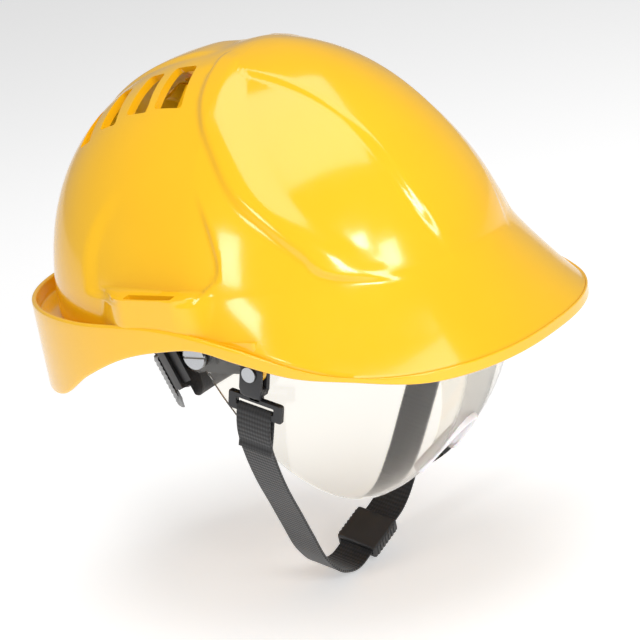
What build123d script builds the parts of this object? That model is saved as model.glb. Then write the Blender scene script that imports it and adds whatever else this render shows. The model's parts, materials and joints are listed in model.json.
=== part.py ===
"""Safety helmet with a retractable eye shield, ratchet cradle and chin strap.

Units are millimetres.  +Z is up, the peak faces -Y and the wearer's left is +X.
The origin is the centre of the headband's lower edge, where the head seats.
"""

import os
from math import cos, hypot, pi, radians, sin, sqrt

from build123d import *

os.makedirs("parts", exist_ok=True)

# ---------------------------------------------------------------- shell sizes
wall = 3.0
crown_height = 153.0
dome_base = 20.0
dome_side = 107.0
dome_front = 118.0
dome_rear = 143.0
dome_plan_power = 2.25
front_plan_power = 1.92
plan_blend = 60.0
section_power = 2.2
front_lean = 0.42
rear_lean = 0.2
side_lean = 0.34
rim_side = 112.0
rim_front = 145.0
rim_rear = 155.0
rim_plan_power = 2.5
flare_top = 50.0
flare_power = 1.5
bead = 1.2
gutter_floor = 26.0
lip_wall = 3.0
skirt_bottom = -15.0
lip_top = 35.5
side_margin = 60.0

# side view of the lower edge and of the gutter lip, as (y, z) stations
lower_edge = [(-147, 0), (-120, 1), (-88, 7.5), (-60, 11.6), (-30, 19.7), (-8, 25.2), (16, 23.9)]
lower_edge += [(40, 19.4), (76, 5.3), (105, -10), (125, -13), (158, -13)]
lip_line = [(-147, 6), (-102, 8), (-76, 12.5), (-31, 27), (9, lip_top), (80, lip_top), (158, lip_top)]

vent_rows = [31, 51, 72, 92]
vent_size = (22, 13)
vent_offset = 41.0
vent_lean = 38.0

socket_length = 30.0
socket_gap = 4.6
socket_wall = 1.8
socket_x = 107.4
socket_y = 19.0
socket_top = 52.0
socket_depth = 14.0

# ------------------------------------------------------------- cradle sizes
band_side = 80.0
band_front = 98.0
band_thickness = 2.0
band_bottom = 2.0
band_top = 30.0
band_end_y = 44.0
sweat_thickness = 2.4
sweat_gap = 0.2
sweat_end_y = -10.0

clip_bottom = 26.0
clip_top = 40.0
carrier_gap = 3.5
carrier_thickness = 2.5
carrier_top = 38.0
carrier_front_y = -57.0
bridge_y = (20.0, 30.0)
front_clip_y = (-58.0, -42.0)
mid_clip_y = (32.0, 45.0)

strap_width = 18.0
strap_thickness = 1.2
crown_rise = 71.0
crown_stack = 2.4
crown_pad_radius = 17.0
crown_pad_y = 35.0
crown_pad_thickness = 1.6
cross_reach = 97.0

# --------------------------------------------------------------- nape gear
nape_y = 8.0
nape_z = 14.0
nape_tilt = 22.0
arm_radius = 82.0
arm_thickness = 1.5
arm_half_height = 9.0
arm_front_angle = 74.0
arm_step_angle = 26.0
finger_end_angle = 10.0
finger_outer = 11.0
play = 0.4

gear_module = 1.0
pinion_teeth = 12
tooth_height = 0.7
tooth_clearance = 0.35
rack_tooth_width = 1.0
pinion_length = 1.4
root_half_angle = 9.5
tip_half_angle = 3.2
flute_radius = 2.2
flute_offset = 1.0

housing_angle = 22.0
housing_half_height = 15.0
housing_plate = 2.1
cover_thickness = 2.5
shaft_radius = 3.95
shaft_bore = 4.0
knob_radius = 18.5
knob_length = 12.0
knob_gap = 0.5
knob_flutes = 18
screw_radius = 1.25
guide_angles = (62.0, 68.0)
guide_wall = 1.6
guide_inside = 1.8
hanger_spot = (60.0, 104.0)
hanger_foot = (26.0, 80.5)
hanger_width = 12.0
hanger_thickness = 2.6
pad_thickness = 6.5
pad_angle = 20.0
pad_half_height = 13.0

# ------------------------------------------------------------------- visor
pivot_y = 10.0
pivot_z = 15.0
lens_side = 91.0
lens_reach = 115.0
lens_power = 2.4
lens_thickness = 2.0
lens_low = -58.0
lens_high = 0.0
ear_radius = 9.0
lens_bore = 3.05
pivot_radius = 3.0
pivot_thread = 2.0
washer_thickness = 0.6
lens_gap = 0.2
head_radius = 6.5
head_thickness = 2.3
driver_slot = 1.4
driver_depth = 1.0
boss_radius = 7.0
notch_aim = -46.0
notch_radius = 12.0
notch_centre = 13.0
notch_foot = 17.0
notch_depth = 45.0
notch_reach = 20.0
nose_back = 6.5
nose_front = 0.5
nose_foot = 12.0
nose_wall = 3.0

# -------------------------------------------------------------- chin strap
lug_y = -30.0
lug_z = 11.0
lug_x = 97.0
lug_thickness = 3.0
lug_radius = 6.0
lug_top_half = 12.0
shelf_bottom = 24.0
shelf_top = 30.0
hook_play = 0.4
hook_cheek = 2.5
hook_width = 13.0
pin_radius = 2.45
pin_bore = 2.5
strap_lean = 15.4
webbing_width = 20.0
webbing_thickness = 1.8
webbing_start = 19.5
neck_width = 10.0
neck_thickness = 3.6
yoke_length = 5.5
bar_x = 94.8
bar_thickness = 6.0
bar_width = 32.0
bar_span = (16.0, 26.0)
bar_slot = (22.0, 3.6)
near_run = [(-bar_x, webbing_start), (-94.2, 29), (-88.5, 50), (-78, 71), (-62, 95)]
near_run += [(-50, 113), (-33, 137), (-13, 154)]
straight_run = [(2, 158), (44, 141)]
far_run = [(59, 117), (68, 94), (77, 72), (88.5, 50), (94.2, 29), (bar_x, webbing_start)]
buckle_length = 24.0
buckle_width = 25.0
buckle_thickness = 9.0
buckle_slot = (20.8, 3.4)


# ------------------------------------------------------------ shape helpers
def oval(angle, side, front, rear, power):
    """Plan radius at an angle from the front, of an egg made of two superellipses."""
    across = abs(sin(radians(angle))) / side
    along = abs(cos(radians(angle))) / (front if cos(radians(angle)) > 0 else rear)
    return (across**power + along**power) ** (-1 / power)


def smooth(value):
    value = min(max(value, 0.0), 1.0)
    return value * value * (3 - 2 * value)


def dome_plan(angle):
    """Plan radius of the dome, which is more pointed in front than behind."""
    backness = smooth((abs(angle) - plan_blend) / plan_blend)
    power = front_plan_power + (dome_plan_power - front_plan_power) * backness
    return oval(angle, dome_side, dome_front, dome_rear, power)


def rise_power(angle):
    """How square the dome's section is: flatter in front, fuller at the rear."""
    ahead = cos(radians(angle))
    lean = front_lean if ahead > 0 else rear_lean
    return section_power - lean * ahead - side_lean * sin(radians(angle)) ** 2


def shell_radius(angle, height):
    """Radius of the outer skin: the dome, with the flare of the peak below it."""
    base = dome_plan(angle)
    rise = min(max((height - dome_base) / (crown_height - dome_base), 0.0), 1.0)
    power = rise_power(angle)
    radius = base * (1 - rise**power) ** (1 / power)
    frontness = smooth((100 - abs(angle)) / 40)
    edge = 6 + 22 * smooth((abs(angle) - 35) / 45)
    drop = min(max((flare_top - height) / (flare_top - edge), 0.0), 1.0)
    rim = oval(angle, rim_side, rim_front, rim_rear, rim_plan_power) - bead
    return radius + frontness * (rim - base) * drop**flare_power


def ring_points(radius_at, count=32):
    points = []
    for step in range(count):
        angle = -180 + 360 * step / count
        radius = radius_at(angle)
        points.append((radius * sin(radians(angle)), -radius * cos(radians(angle))))
    return points


def skin(heights, inset, lift):
    """Closed solid inside the outer skin, inset sideways and lowered by lift."""
    with BuildPart() as body:
        for height in heights:
            with BuildSketch(Plane.XY.offset(height - lift)):
                with BuildLine():
                    Spline(*ring_points(lambda a: shell_radius(a, height) - inset), periodic=True)
                make_face()
        loft()
    return body.part


def rim_block(inset, bottom, top):
    with BuildPart() as block:
        with BuildSketch(Plane.XY.offset(bottom)):
            with BuildLine():
                Spline(
                    *ring_points(
                        lambda a: oval(
                            a, rim_side - inset, rim_front - inset, rim_rear - inset, rim_plan_power
                        )
                    ),
                    periodic=True,
                )
            make_face()
        extrude(amount=top - bottom)
    return block.part


def side_region(stations, far_z):
    """Everything between a side-view curve and the level far_z, right across the shell."""
    with BuildPart() as region:
        with BuildSketch(Plane.YZ):
            with BuildLine():
                Spline(*stations)
                first, last = stations[0], stations[-1]
                Polyline(last, (last[0], far_z), (first[0], far_z), first)
            make_face()
        extrude(amount=rim_side + side_margin, both=True)
    return region.part


def oval_ring(outer, thickness, bottom, top, y_from, y_to, side=0):
    """Upright strip that follows an ellipse, cut to a stretch of y and to one side."""
    half_x, half_y = outer
    with BuildPart() as strip:
        with BuildSketch(Plane.XY.offset(bottom)):
            Ellipse(half_x, half_y)
            Ellipse(half_x - thickness, half_y - thickness, mode=Mode.SUBTRACT)
            with Locations((side * half_x, (y_from + y_to) / 2)):
                Rectangle(2 * half_x, y_to - y_from, mode=Mode.INTERSECT)
        extrude(amount=top - bottom)
    return strip.part


nape_plane = Plane(
    origin=(0, nape_y, nape_z),
    x_dir=(1, 0, 0),
    z_dir=(0, sin(radians(nape_tilt)), cos(radians(nape_tilt))),
)


def arc_strip(inner, outer, angle_from, angle_to, low, high):
    """Curved strip about the nape centre; angles run from the rear towards +X."""
    with BuildPart() as strip:
        with BuildSketch(nape_plane.offset(low)):
            with BuildLine():
                arc_in = CenterArc((0, 0), inner, 90 - angle_to, angle_to - angle_from)
                arc_out = CenterArc((0, 0), outer, 90 - angle_to, angle_to - angle_from)
                Line(arc_in @ 0, arc_out @ 0)
                Line(arc_in @ 1, arc_out @ 1)
            make_face()
        extrude(amount=high - low)
    return strip.part


def knob_plane(distance):
    """Plane across the knob's axis, this far out from the nape centre."""
    outward = nape_plane.y_dir
    return Plane(origin=nape_plane.origin + outward * distance, x_dir=(1, 0, 0), z_dir=outward)


def disc(plane, radius, length):
    with BuildPart() as piece:
        with BuildSketch(plane):
            Circle(radius)
        extrude(amount=length)
    return piece.part


def save(piece, label):
    piece.part.label = label
    export_step(piece.part, f"parts/{label}.step")


# ------------------------------------------------------------------- shell
outer_heights = [0, 8, 17, 26, 36, 50, 66, 84, 102, 118, 131, 142, 149, 152, 152.9]
outer_skin = skin(outer_heights, 0, 0)
inner_skin = skin([wall + skirt_bottom - 5] + outer_heights[1:], wall, wall)

vent_planes = []
for side in (-1, 1):
    for y in vent_rows:
        angle = 90 + 90 * y / dome_rear
        reach = hypot(vent_offset, y)
        share = reach / dome_plan(angle)
        power = rise_power(angle)
        level = dome_base + (crown_height - dome_base) * (1 - share**power) ** (1 / power)
        lean = radians(vent_lean) * side
        place = Plane(origin=(side * vent_offset, y, level), z_dir=(sin(lean), y / 160, cos(lean)))
        vent_planes.append(place)

with BuildPart() as shell:
    # skirt and gutter lip, then the gutter channel
    add(rim_block(0, skirt_bottom, lip_top + 1))
    add(side_region(lip_line, skirt_bottom - 10), mode=Mode.INTERSECT)
    add(rim_block(lip_wall, gutter_floor, lip_top + 10), mode=Mode.SUBTRACT)
    # dome and peak, with the accessory sockets above the ears
    add(outer_skin)
    for side in (-1, 1):
        with BuildSketch(Plane.XY.offset(socket_top - socket_depth - socket_wall)):
            with Locations((side * socket_x, socket_y)):
                Rectangle(socket_gap + 2 * socket_wall, socket_length + 2 * socket_wall)
        extrude(amount=socket_depth + socket_wall)
        with BuildSketch(Plane.XY.offset(socket_top)):
            with Locations((side * socket_x, socket_y)):
                Rectangle(socket_gap, socket_length)
        extrude(amount=-socket_depth, mode=Mode.SUBTRACT)
    add(inner_skin, mode=Mode.SUBTRACT)
    # space behind the rear skirt, under the gutter floor
    rear_void = rim_block(lip_wall, skirt_bottom - 5, gutter_floor - wall)
    with BuildSketch(Plane.XY.offset(skirt_bottom - 5)):
        with Locations((0, -20 + rim_rear)):
            Rectangle(4 * rim_side, 2 * rim_rear)
    rear_box = extrude(amount=gutter_floor - wall - skirt_bottom + 5, mode=Mode.PRIVATE)
    add(rear_void & rear_box, mode=Mode.SUBTRACT)
    add(side_region(lower_edge, crown_height + 10), mode=Mode.INTERSECT)
    # roof vents
    for place in vent_planes:
        with BuildSketch(place.offset(-15)):
            Rectangle(*vent_size)
        extrude(amount=30, mode=Mode.SUBTRACT)
    for side in (-1, 1):
        # chin strap lugs, hung from a shelf inside the rim
        with BuildSketch(Plane.YZ.offset(side * lug_x - lug_thickness / 2)):
            with BuildLine():
                tip = CenterArc((lug_y, lug_z), lug_radius, 180, 180)
                Polyline(
                    tip @ 0,
                    (lug_y - lug_top_half, shelf_top),
                    (lug_y + lug_top_half, shelf_top),
                    tip @ 1,
                )
            make_face()
            with Locations((lug_y, lug_z)):
                Circle(pin_radius, mode=Mode.SUBTRACT)
        extrude(amount=lug_thickness)
        shelf_reach = dome_side - lug_x + lug_thickness / 2
        with BuildSketch(Plane.XY.offset(shelf_bottom)):
            with Locations((side * (lug_x - lug_thickness / 2 + shelf_reach / 2), lug_y)):
                Rectangle(shelf_reach, 2 * lug_top_half)
        extrude(amount=shelf_top - shelf_bottom)
save(shell, "shell")

# ---------------------------------------------------------------- headband
guide_inner = arm_radius - guide_inside
guide_outer = arm_radius + arm_thickness + play + guide_wall
guide_half = arm_half_height + play + guide_wall

with BuildPart() as headband:
    add(oval_ring((band_side, band_front), band_thickness, band_bottom, band_top, -110, band_end_y))
    for side in (-1, 1):
        start, end = sorted(side * angle for angle in guide_angles)
        add(arc_strip(guide_inner, guide_outer, start, end, -guide_half, guide_half))
    for side in (-1, 1):
        start, end = sorted(side * angle for angle in guide_angles)
        slot_inner = arm_radius - play
        slot_outer = arm_radius + arm_thickness + play
        slot_half = arm_half_height + play
        slot = arc_strip(slot_inner, slot_outer, start - 1, end + 1, -slot_half, slot_half)
        add(slot, mode=Mode.SUBTRACT)
save(headband, "headband")

sweat_outer = (band_side - band_thickness - sweat_gap, band_front - band_thickness - sweat_gap)
with BuildPart() as sweatband:
    add(oval_ring(sweat_outer, sweat_thickness, band_bottom + 2, band_top, -110, sweat_end_y))
save(sweatband, "sweatband")

# -------------------------------------------- nape arms with their gear racks
pinion_radius = gear_module * pinion_teeth / 2
rack_tip = pinion_radius - tooth_height
rack_root = pinion_radius + tooth_height + tooth_clearance
arm_outer = arm_radius + arm_thickness
rack_radius = arm_radius + arm_thickness / 2
rack_pitch = 180 * gear_module / rack_radius
tooth_angle = 180 / pi * rack_tooth_width / rack_radius


def nape_arm(side):
    """The right arm (side -1) runs above the pinion, the left one below it."""
    level = -side
    with BuildPart() as arm:
        start, end = sorted((side * arm_step_angle, side * arm_front_angle))
        add(arc_strip(arm_radius, arm_outer, start, end, -arm_half_height, arm_half_height))
        start, end = sorted((-side * finger_end_angle, side * (arm_step_angle + 1)))
        low, high = sorted((level * rack_root, level * finger_outer))
        add(arc_strip(arm_radius, arm_outer, start, end, low, high))
        low, high = sorted((level * rack_tip, level * (rack_root + 0.1)))
        for tooth in range(-4, 5):
            middle = tooth * rack_pitch
            first = middle - tooth_angle / 2
            last = middle + tooth_angle / 2
            add(arc_strip(arm_radius, arm_outer, first, last, low, high))
    return arm


nape_arm_left = nape_arm(1)
save(nape_arm_left, "nape_arm_left")
nape_arm_right = nape_arm(-1)
save(nape_arm_right, "nape_arm_right")

# ----------------------------------------------------------------- ratchet
plate_outer = arm_radius - play
plate_inner = plate_outer - housing_plate
cover_inner = arm_outer + play + 0.1
cover_outer = cover_inner + cover_thickness
finger_room = finger_outer + play

with BuildPart() as ratchet_housing:
    half = housing_half_height
    add(arc_strip(plate_inner, plate_outer, -housing_angle, housing_angle, -half, half))
    add(arc_strip(plate_outer, cover_inner, -housing_angle, housing_angle, finger_room, half))
    add(arc_strip(plate_outer, cover_inner, -housing_angle, housing_angle, -half, -finger_room))
    add(disc(knob_plane(plate_inner - 2), screw_radius + play, housing_plate + 4), mode=Mode.SUBTRACT)
save(ratchet_housing, "ratchet_housing")

with BuildPart() as ratchet_cover:
    half = housing_half_height
    add(arc_strip(cover_inner, cover_outer, -housing_angle, housing_angle, -half, half))
    add(disc(knob_plane(cover_inner - 2), shaft_bore, cover_thickness + 4), mode=Mode.SUBTRACT)
save(ratchet_cover, "ratchet_cover")

pinion_start = plate_outer + 0.3
pinion_tip = pinion_radius + tooth_height
pinion_root = pinion_radius - tooth_height - tooth_clearance
with BuildPart() as ratchet_pinion:
    with BuildSketch(knob_plane(pinion_start)):
        outline = []
        for tooth in range(pinion_teeth):
            centre = 90 + 360 * (tooth + 0.5) / pinion_teeth
            for offset in (-root_half_angle, -tip_half_angle, tip_half_angle, root_half_angle):
                radius = pinion_tip if abs(offset) == tip_half_angle else pinion_root
                turn = radians(centre + offset)
                outline.append((radius * cos(turn), radius * sin(turn)))
        Polygon(*outline, align=None)
        Circle(screw_radius, mode=Mode.SUBTRACT)
    extrude(amount=pinion_length)
save(ratchet_pinion, "ratchet_pinion")

knob_start = cover_outer + knob_gap
shaft_start = pinion_start + pinion_length
with BuildPart() as ratchet_knob:
    add(disc(knob_plane(shaft_start), shaft_radius, knob_start - shaft_start))
    with BuildSketch(knob_plane(knob_start)):
        Circle(knob_radius)
        with PolarLocations(knob_radius + flute_offset, knob_flutes):
            Circle(flute_radius, mode=Mode.SUBTRACT)
    extrude(amount=knob_length)
    add(disc(knob_plane(shaft_start), screw_radius, knob_start - shaft_start + 5), mode=Mode.SUBTRACT)
save(ratchet_knob, "ratchet_knob")

screw_head = 1.2
with BuildPart() as knob_screw:
    add(disc(knob_plane(plate_inner - screw_head - 0.2), screw_radius * 2, screw_head))
    add(disc(knob_plane(plate_inner - 0.2), screw_radius, knob_start + 5 - plate_inner + 0.2))
save(knob_screw, "knob_screw")

with BuildPart() as nape_pad:
    inner = plate_inner - pad_thickness
    add(arc_strip(inner, plate_inner, -pad_angle, pad_angle, -pad_half_height, pad_half_height))
    add(disc(knob_plane(plate_inner - 2.5), screw_radius * 2 + 1, 6), mode=Mode.SUBTRACT)
save(nape_pad, "nape_pad")


# ---------------------------------- hangers from the shell to the nape housing
def nape_hanger(side):
    x, y = hanger_spot
    away = Vector(side * x, y, 0).normalized()
    head = Plane(origin=(side * x, y, clip_top - clip_bottom / 2), x_dir=away, z_dir=(0, 0, 1))
    foot_x, foot_y = hanger_foot
    foot = nape_plane.from_local_coords(Vector(side * foot_x, foot_y, housing_half_height - 3))
    top = Vector(side * (x - 1), y - 1, clip_bottom + 6)
    lean = Vector(foot) - top
    rail = Plane(origin=top, x_dir=(side * 0.9, 0.43, 0), z_dir=lean.normalized())
    with BuildPart() as hanger:
        with BuildSketch(Plane(origin=(side * x, y, clip_bottom), x_dir=away, z_dir=(0, 0, 1))):
            with Locations((8, 0)):
                Rectangle(24, hanger_width)
        extrude(amount=clip_top - clip_bottom)
        with BuildSketch(rail):
            Rectangle(hanger_width, hanger_thickness)
        extrude(amount=lean.length)
        split(bisect_by=nape_plane.offset(housing_half_height), keep=Keep.TOP)
        add(inner_skin, mode=Mode.INTERSECT)
    return hanger


for side, word in ((1, "left"), (-1, "right")):
    save(nape_hanger(side), f"nape_hanger_{word}")

# ------------------------------------------- visor carriers and harness clips
carrier_stand = carrier_gap + carrier_thickness
carrier_outer = (band_side + carrier_stand, band_front + carrier_stand)
tab_face = carrier_outer[0] * sqrt(1 - (pivot_y / carrier_outer[1]) ** 2)
lens_inner = lens_side - lens_thickness
boss_face = lens_inner - lens_gap - washer_thickness


def visor_carrier(side):
    pivot_side = Plane(origin=(0, pivot_y, pivot_z), x_dir=(0, side, 0), z_dir=(side, 0, 0))
    with BuildPart() as carrier:
        size = (carrier_outer, carrier_thickness, clip_bottom, carrier_top)
        add(oval_ring(*size, carrier_front_y, bridge_y[1], side))
        # bridge out to the shell, behind the visor's sweep
        bridge_in = carrier_outer[0] - 4.5
        with BuildSketch(Plane.XY.offset(clip_bottom)):
            with Locations((side * (bridge_in + 15), sum(bridge_y) / 2)):
                Rectangle(30, bridge_y[1] - bridge_y[0])
        extrude(amount=carrier_top - clip_bottom)
        # tab down to the pivot, with its boss
        with BuildSketch(pivot_side.offset(tab_face - carrier_thickness)):
            with Locations((0, 3)):
                Rectangle(16, 18)
        extrude(amount=carrier_thickness)
        add(disc(pivot_side.offset(tab_face - 1), boss_radius, boss_face - tab_face + 1))
        add(disc(pivot_side.offset(tab_face - 5), pivot_thread, 10), mode=Mode.SUBTRACT)
        add(inner_skin, mode=Mode.INTERSECT)
    return carrier


def pivot_washer(side):
    pivot_side = Plane(origin=(0, pivot_y, pivot_z), x_dir=(0, side, 0), z_dir=(side, 0, 0))
    with BuildPart() as washer:
        with BuildSketch(pivot_side.offset(boss_face)):
            Circle(boss_radius)
            Circle(pivot_radius, mode=Mode.SUBTRACT)
        extrude(amount=washer_thickness)
    return washer


def pivot_screw(side):
    pivot_side = Plane(origin=(0, pivot_y, pivot_z), x_dir=(0, side, 0), z_dir=(side, 0, 0))
    head_face = lens_side + lens_gap
    thread_face = tab_face - carrier_thickness
    with BuildPart() as screw:
        add(disc(pivot_side.offset(thread_face), pivot_thread, boss_face - thread_face))
        add(disc(pivot_side.offset(boss_face), pivot_radius, head_face - boss_face))
        add(disc(pivot_side.offset(head_face), head_radius, head_thickness))
        with BuildSketch(pivot_side.offset(head_face + head_thickness)):
            Rectangle(head_radius * 2, driver_slot)
        extrude(amount=-driver_depth, mode=Mode.SUBTRACT)
    return screw


def front_clip(side):
    gap_ring = (band_side + carrier_gap, band_front + carrier_gap)
    with BuildPart() as clip:
        add(oval_ring(gap_ring, carrier_gap, clip_bottom, clip_top, *front_clip_y, side))
    return clip


def mid_clip(side):
    with BuildPart() as clip:
        with BuildSketch(Plane.XY.offset(clip_bottom)):
            with Locations((side * (band_side + 13), sum(mid_clip_y) / 2)):
                Rectangle(38, mid_clip_y[1] - mid_clip_y[0])
            Ellipse(band_side, band_front, mode=Mode.SUBTRACT)
        extrude(amount=clip_top - clip_bottom)
        add(inner_skin, mode=Mode.INTERSECT)
    return clip


for side, word in ((1, "left"), (-1, "right")):
    save(visor_carrier(side), f"visor_carrier_{word}")
    save(pivot_washer(side), f"pivot_washer_{word}")
    save(pivot_screw(side), f"pivot_screw_{word}")
    save(front_clip(side), f"front_clip_{word}")
    save(mid_clip(side), f"mid_clip_{word}")


# ------------------------------------------------------------ crown straps
def crown_strap(start, end, lift):
    """Webbing that rises as half an ellipse between two clips."""
    middle = Vector((start[0] + end[0]) / 2, (start[1] + end[1]) / 2, clip_top)
    along = Vector(end[0] - start[0], end[1] - start[1], 0)
    half = along.length / 2
    upright = Plane(origin=middle, x_dir=along, z_dir=along.cross(Vector(0, 0, 1)))
    with BuildPart() as strap:
        with BuildSketch(upright):
            Ellipse(half + strap_thickness / 2, crown_rise + lift)
            Ellipse(half - strap_thickness / 2, crown_rise + lift - strap_thickness, mode=Mode.SUBTRACT)
            with Locations((0, -crown_rise)):
                Rectangle(3 * half, 2 * crown_rise, mode=Mode.SUBTRACT)
        extrude(amount=strap_width / 2, both=True)
    return strap


clip_y = sum(front_clip_y) / 2
clip_x = (band_side + carrier_gap / 2) * sqrt(1 - (clip_y / (band_front + carrier_gap / 2)) ** 2)
mid_y = sum(mid_clip_y) / 2
left_rear = (hanger_spot[0], hanger_spot[1])
right_rear = (-hanger_spot[0], hanger_spot[1])
save(crown_strap((-clip_x, clip_y), left_rear, 0), "crown_strap_right_front")
save(crown_strap((clip_x, clip_y), right_rear, crown_stack), "crown_strap_left_front")
cross = crown_strap((-cross_reach, mid_y), (cross_reach, mid_y), 2 * crown_stack)
save(cross, "crown_strap_cross")

with BuildPart() as crown_pad:
    with BuildSketch(Plane.XY.offset(clip_top + crown_rise + 2 * crown_stack + 0.3)):
        with Locations((0, crown_pad_y)):
            Circle(crown_pad_radius)
    extrude(amount=crown_pad_thickness)
save(crown_pad, "crown_pad")

# ------------------------------------------------------------------- visor
lens_plane = Plane(
    origin=(0, pivot_y, pivot_z),
    x_dir=(1, 0, 0),
    z_dir=(0, -sin(radians(lens_low)), -cos(radians(lens_low))),
)


def lens_half_profile(side_reach, front_reach):
    """Quarter superellipse stations from the front of the lens to its pivot side."""
    points = []
    for step in range(0, 10):
        turn = radians(10 * step)
        across = side_reach * sin(turn) ** (2 / lens_power)
        ahead = front_reach * cos(turn) ** (2 / lens_power)
        points.append((across, ahead))
    points[-1] = (side_reach, 0)
    return points


notch_plane = Plane(
    origin=(0, pivot_y, pivot_z),
    x_dir=(1, 0, 0),
    z_dir=(0, -cos(radians(notch_aim)), sin(radians(notch_aim))),
)


def notch_solid(inset, near, far, foot_level):
    """The nose notch, or with an inset what is left inside the nose pad."""
    with BuildPart() as notch:
        with BuildSketch(notch_plane.offset(near)):
            with Locations((0, notch_centre)):
                Circle(notch_radius - inset)
            with BuildLine():
                Polyline(
                    (-(notch_radius - inset), notch_centre),
                    (notch_radius - inset, notch_centre),
                    (notch_foot - inset, foot_level),
                    (-(notch_foot - inset), foot_level),
                    close=True,
                )
            make_face()
        extrude(amount=far - near)
    return notch.part


with BuildPart() as visor_lens:
    with BuildSketch(lens_plane):
        with BuildLine():
            right = lens_half_profile(lens_side, lens_reach)
            left = [(-x, y) for x, y in reversed(right)]
            Spline(*(left[:-1] + right), tangents=((0, 1), (0, -1)))
            right_in = lens_half_profile(lens_inner, lens_reach - lens_thickness)
            left_in = [(-x, y) for x, y in reversed(right_in)]
            Spline(*(left_in[:-1] + right_in), tangents=((0, 1), (0, -1)))
            Line((-lens_side, 0), (-lens_inner, 0))
            Line((lens_inner, 0), (lens_side, 0))
        make_face()
    revolve(axis=Axis((0, pivot_y, pivot_z), (-1, 0, 0)), revolution_arc=lens_high - lens_low)
    for side in (-1, 1):
        ear_plane = Plane(origin=(0, pivot_y, pivot_z), x_dir=(0, side, 0), z_dir=(side, 0, 0))
        add(disc(ear_plane.offset(lens_inner), ear_radius, lens_thickness))
        add(disc(ear_plane.offset(lens_inner - 3), lens_bore, lens_thickness + 6), mode=Mode.SUBTRACT)
    add(notch_solid(0, lens_reach - notch_reach, lens_reach + notch_reach, -notch_depth), mode=Mode.SUBTRACT)
save(visor_lens, "visor_lens")

with BuildPart() as nose_pad:
    add(notch_solid(0, lens_reach - nose_back, lens_reach + nose_front, -nose_foot))
    hollow = notch_solid(nose_wall, lens_reach - notch_reach, lens_reach + notch_reach, -nose_foot - 1)
    add(hollow, mode=Mode.SUBTRACT)
save(nose_pad, "nose_pad")

# -------------------------------------------------------------- chin strap
strap_plane = Plane(
    origin=(0, lug_y, lug_z),
    x_dir=(1, 0, 0),
    z_dir=(0, cos(radians(strap_lean)), sin(radians(strap_lean))),
)


def strap_hook(side):
    inner_face = lug_x - lug_thickness / 2 - hook_play - hook_cheek
    outer_face = lug_x + lug_thickness / 2 + hook_play + hook_cheek
    middle = (inner_face + outer_face) / 2
    bar_middle = (bar_span[0] + bar_span[1]) / 2
    cheek_low = lug_radius + 1.5
    neck_middle = (cheek_low + bar_span[0]) / 2 + 3
    with BuildPart() as hook:
        # two cheeks over the lug, joined by a yoke below it
        for near_face in (inner_face, outer_face - hook_cheek):
            with BuildSketch(Plane.YZ.offset(side * (near_face + hook_cheek / 2) - hook_cheek / 2)):
                with Locations(Location((lug_y, lug_z), strap_lean)):
                    Circle(hook_width / 2)
                    with Locations((0, -hook_width / 2)):
                        Rectangle(hook_width, hook_width)
            extrude(amount=hook_cheek)
        with BuildSketch(strap_plane.offset(-hook_width / 2)):
            with Locations((side * middle, cheek_low + yoke_length / 2)):
                Rectangle(outer_face - inner_face, yoke_length)
        extrude(amount=hook_width)
        # neck and slotted bar
        with BuildSketch(strap_plane.offset(-neck_width / 2)):
            with Locations((side * (inner_face + neck_thickness / 2), neck_middle)):
                Rectangle(neck_thickness, bar_span[0] - cheek_low + 2)
        extrude(amount=neck_width)
        with BuildSketch(strap_plane.offset(-bar_width / 2)):
            with Locations((side * bar_x, bar_middle)):
                Rectangle(bar_thickness, bar_span[1] - bar_span[0])
        extrude(amount=bar_width)
        with BuildSketch(strap_plane.offset(-bar_slot[0] / 2)):
            with Locations((side * bar_x, webbing_start + 10)):
                Rectangle(bar_slot[1], 20)
        extrude(amount=bar_slot[0], mode=Mode.SUBTRACT)
        bore_plane = Plane(origin=(side * inner_face, lug_y, lug_z), z_dir=(side, 0, 0))
        add(disc(bore_plane.offset(-2), pin_bore, outer_face - inner_face + 4), mode=Mode.SUBTRACT)
    return hook


def hook_pin(side):
    reach = lug_thickness / 2 + hook_play + hook_cheek + 0.6
    start = Plane(origin=(side * (lug_x - reach), lug_y, lug_z), z_dir=(side, 0, 0))
    with BuildPart() as pin:
        add(disc(start, pin_radius, 2 * reach))
        add(disc(start.offset(2 * reach), pin_radius + 1.5, 1.0))
    return pin


for side, word in ((1, "left"), (-1, "right")):
    save(strap_hook(side), f"strap_hook_{word}")
    save(hook_pin(side), f"hook_pin_{word}")

run_start, run_end = straight_run
run_vector = Vector(run_end[0] - run_start[0], run_end[1] - run_start[1])
run_direction = run_vector.normalized()
with BuildPart() as chin_strap:
    with BuildSketch(strap_plane):
        with BuildLine():
            Spline(*near_run, run_start, tangents=((0, 1), (run_direction.X, run_direction.Y)))
            Line(run_start, run_end)
            Spline(run_end, *far_run, tangents=((run_direction.X, run_direction.Y), (0, -1)))
        trace(line_width=webbing_thickness)
    extrude(amount=webbing_width / 2, both=True)
save(chin_strap, "chin_strap")

run_middle = strap_plane.from_local_coords(
    Vector((run_start[0] + run_end[0]) / 2, (run_start[1] + run_end[1]) / 2)
)
run_world = strap_plane.x_dir * run_direction.X + strap_plane.y_dir * run_direction.Y
buckle_plane = Plane(origin=run_middle, x_dir=run_world, z_dir=strap_plane.z_dir)
with BuildPart() as chin_buckle:
    with BuildSketch(buckle_plane.offset(-buckle_width / 2)):
        RectangleRounded(buckle_length, buckle_thickness, 2)
    extrude(amount=buckle_width)
    with BuildSketch(buckle_plane.offset(-buckle_slot[0] / 2)):
        Rectangle(buckle_length + 2, buckle_slot[1])
    extrude(amount=buckle_slot[0], mode=Mode.SUBTRACT)
save(chin_buckle, "chin_buckle")
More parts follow.
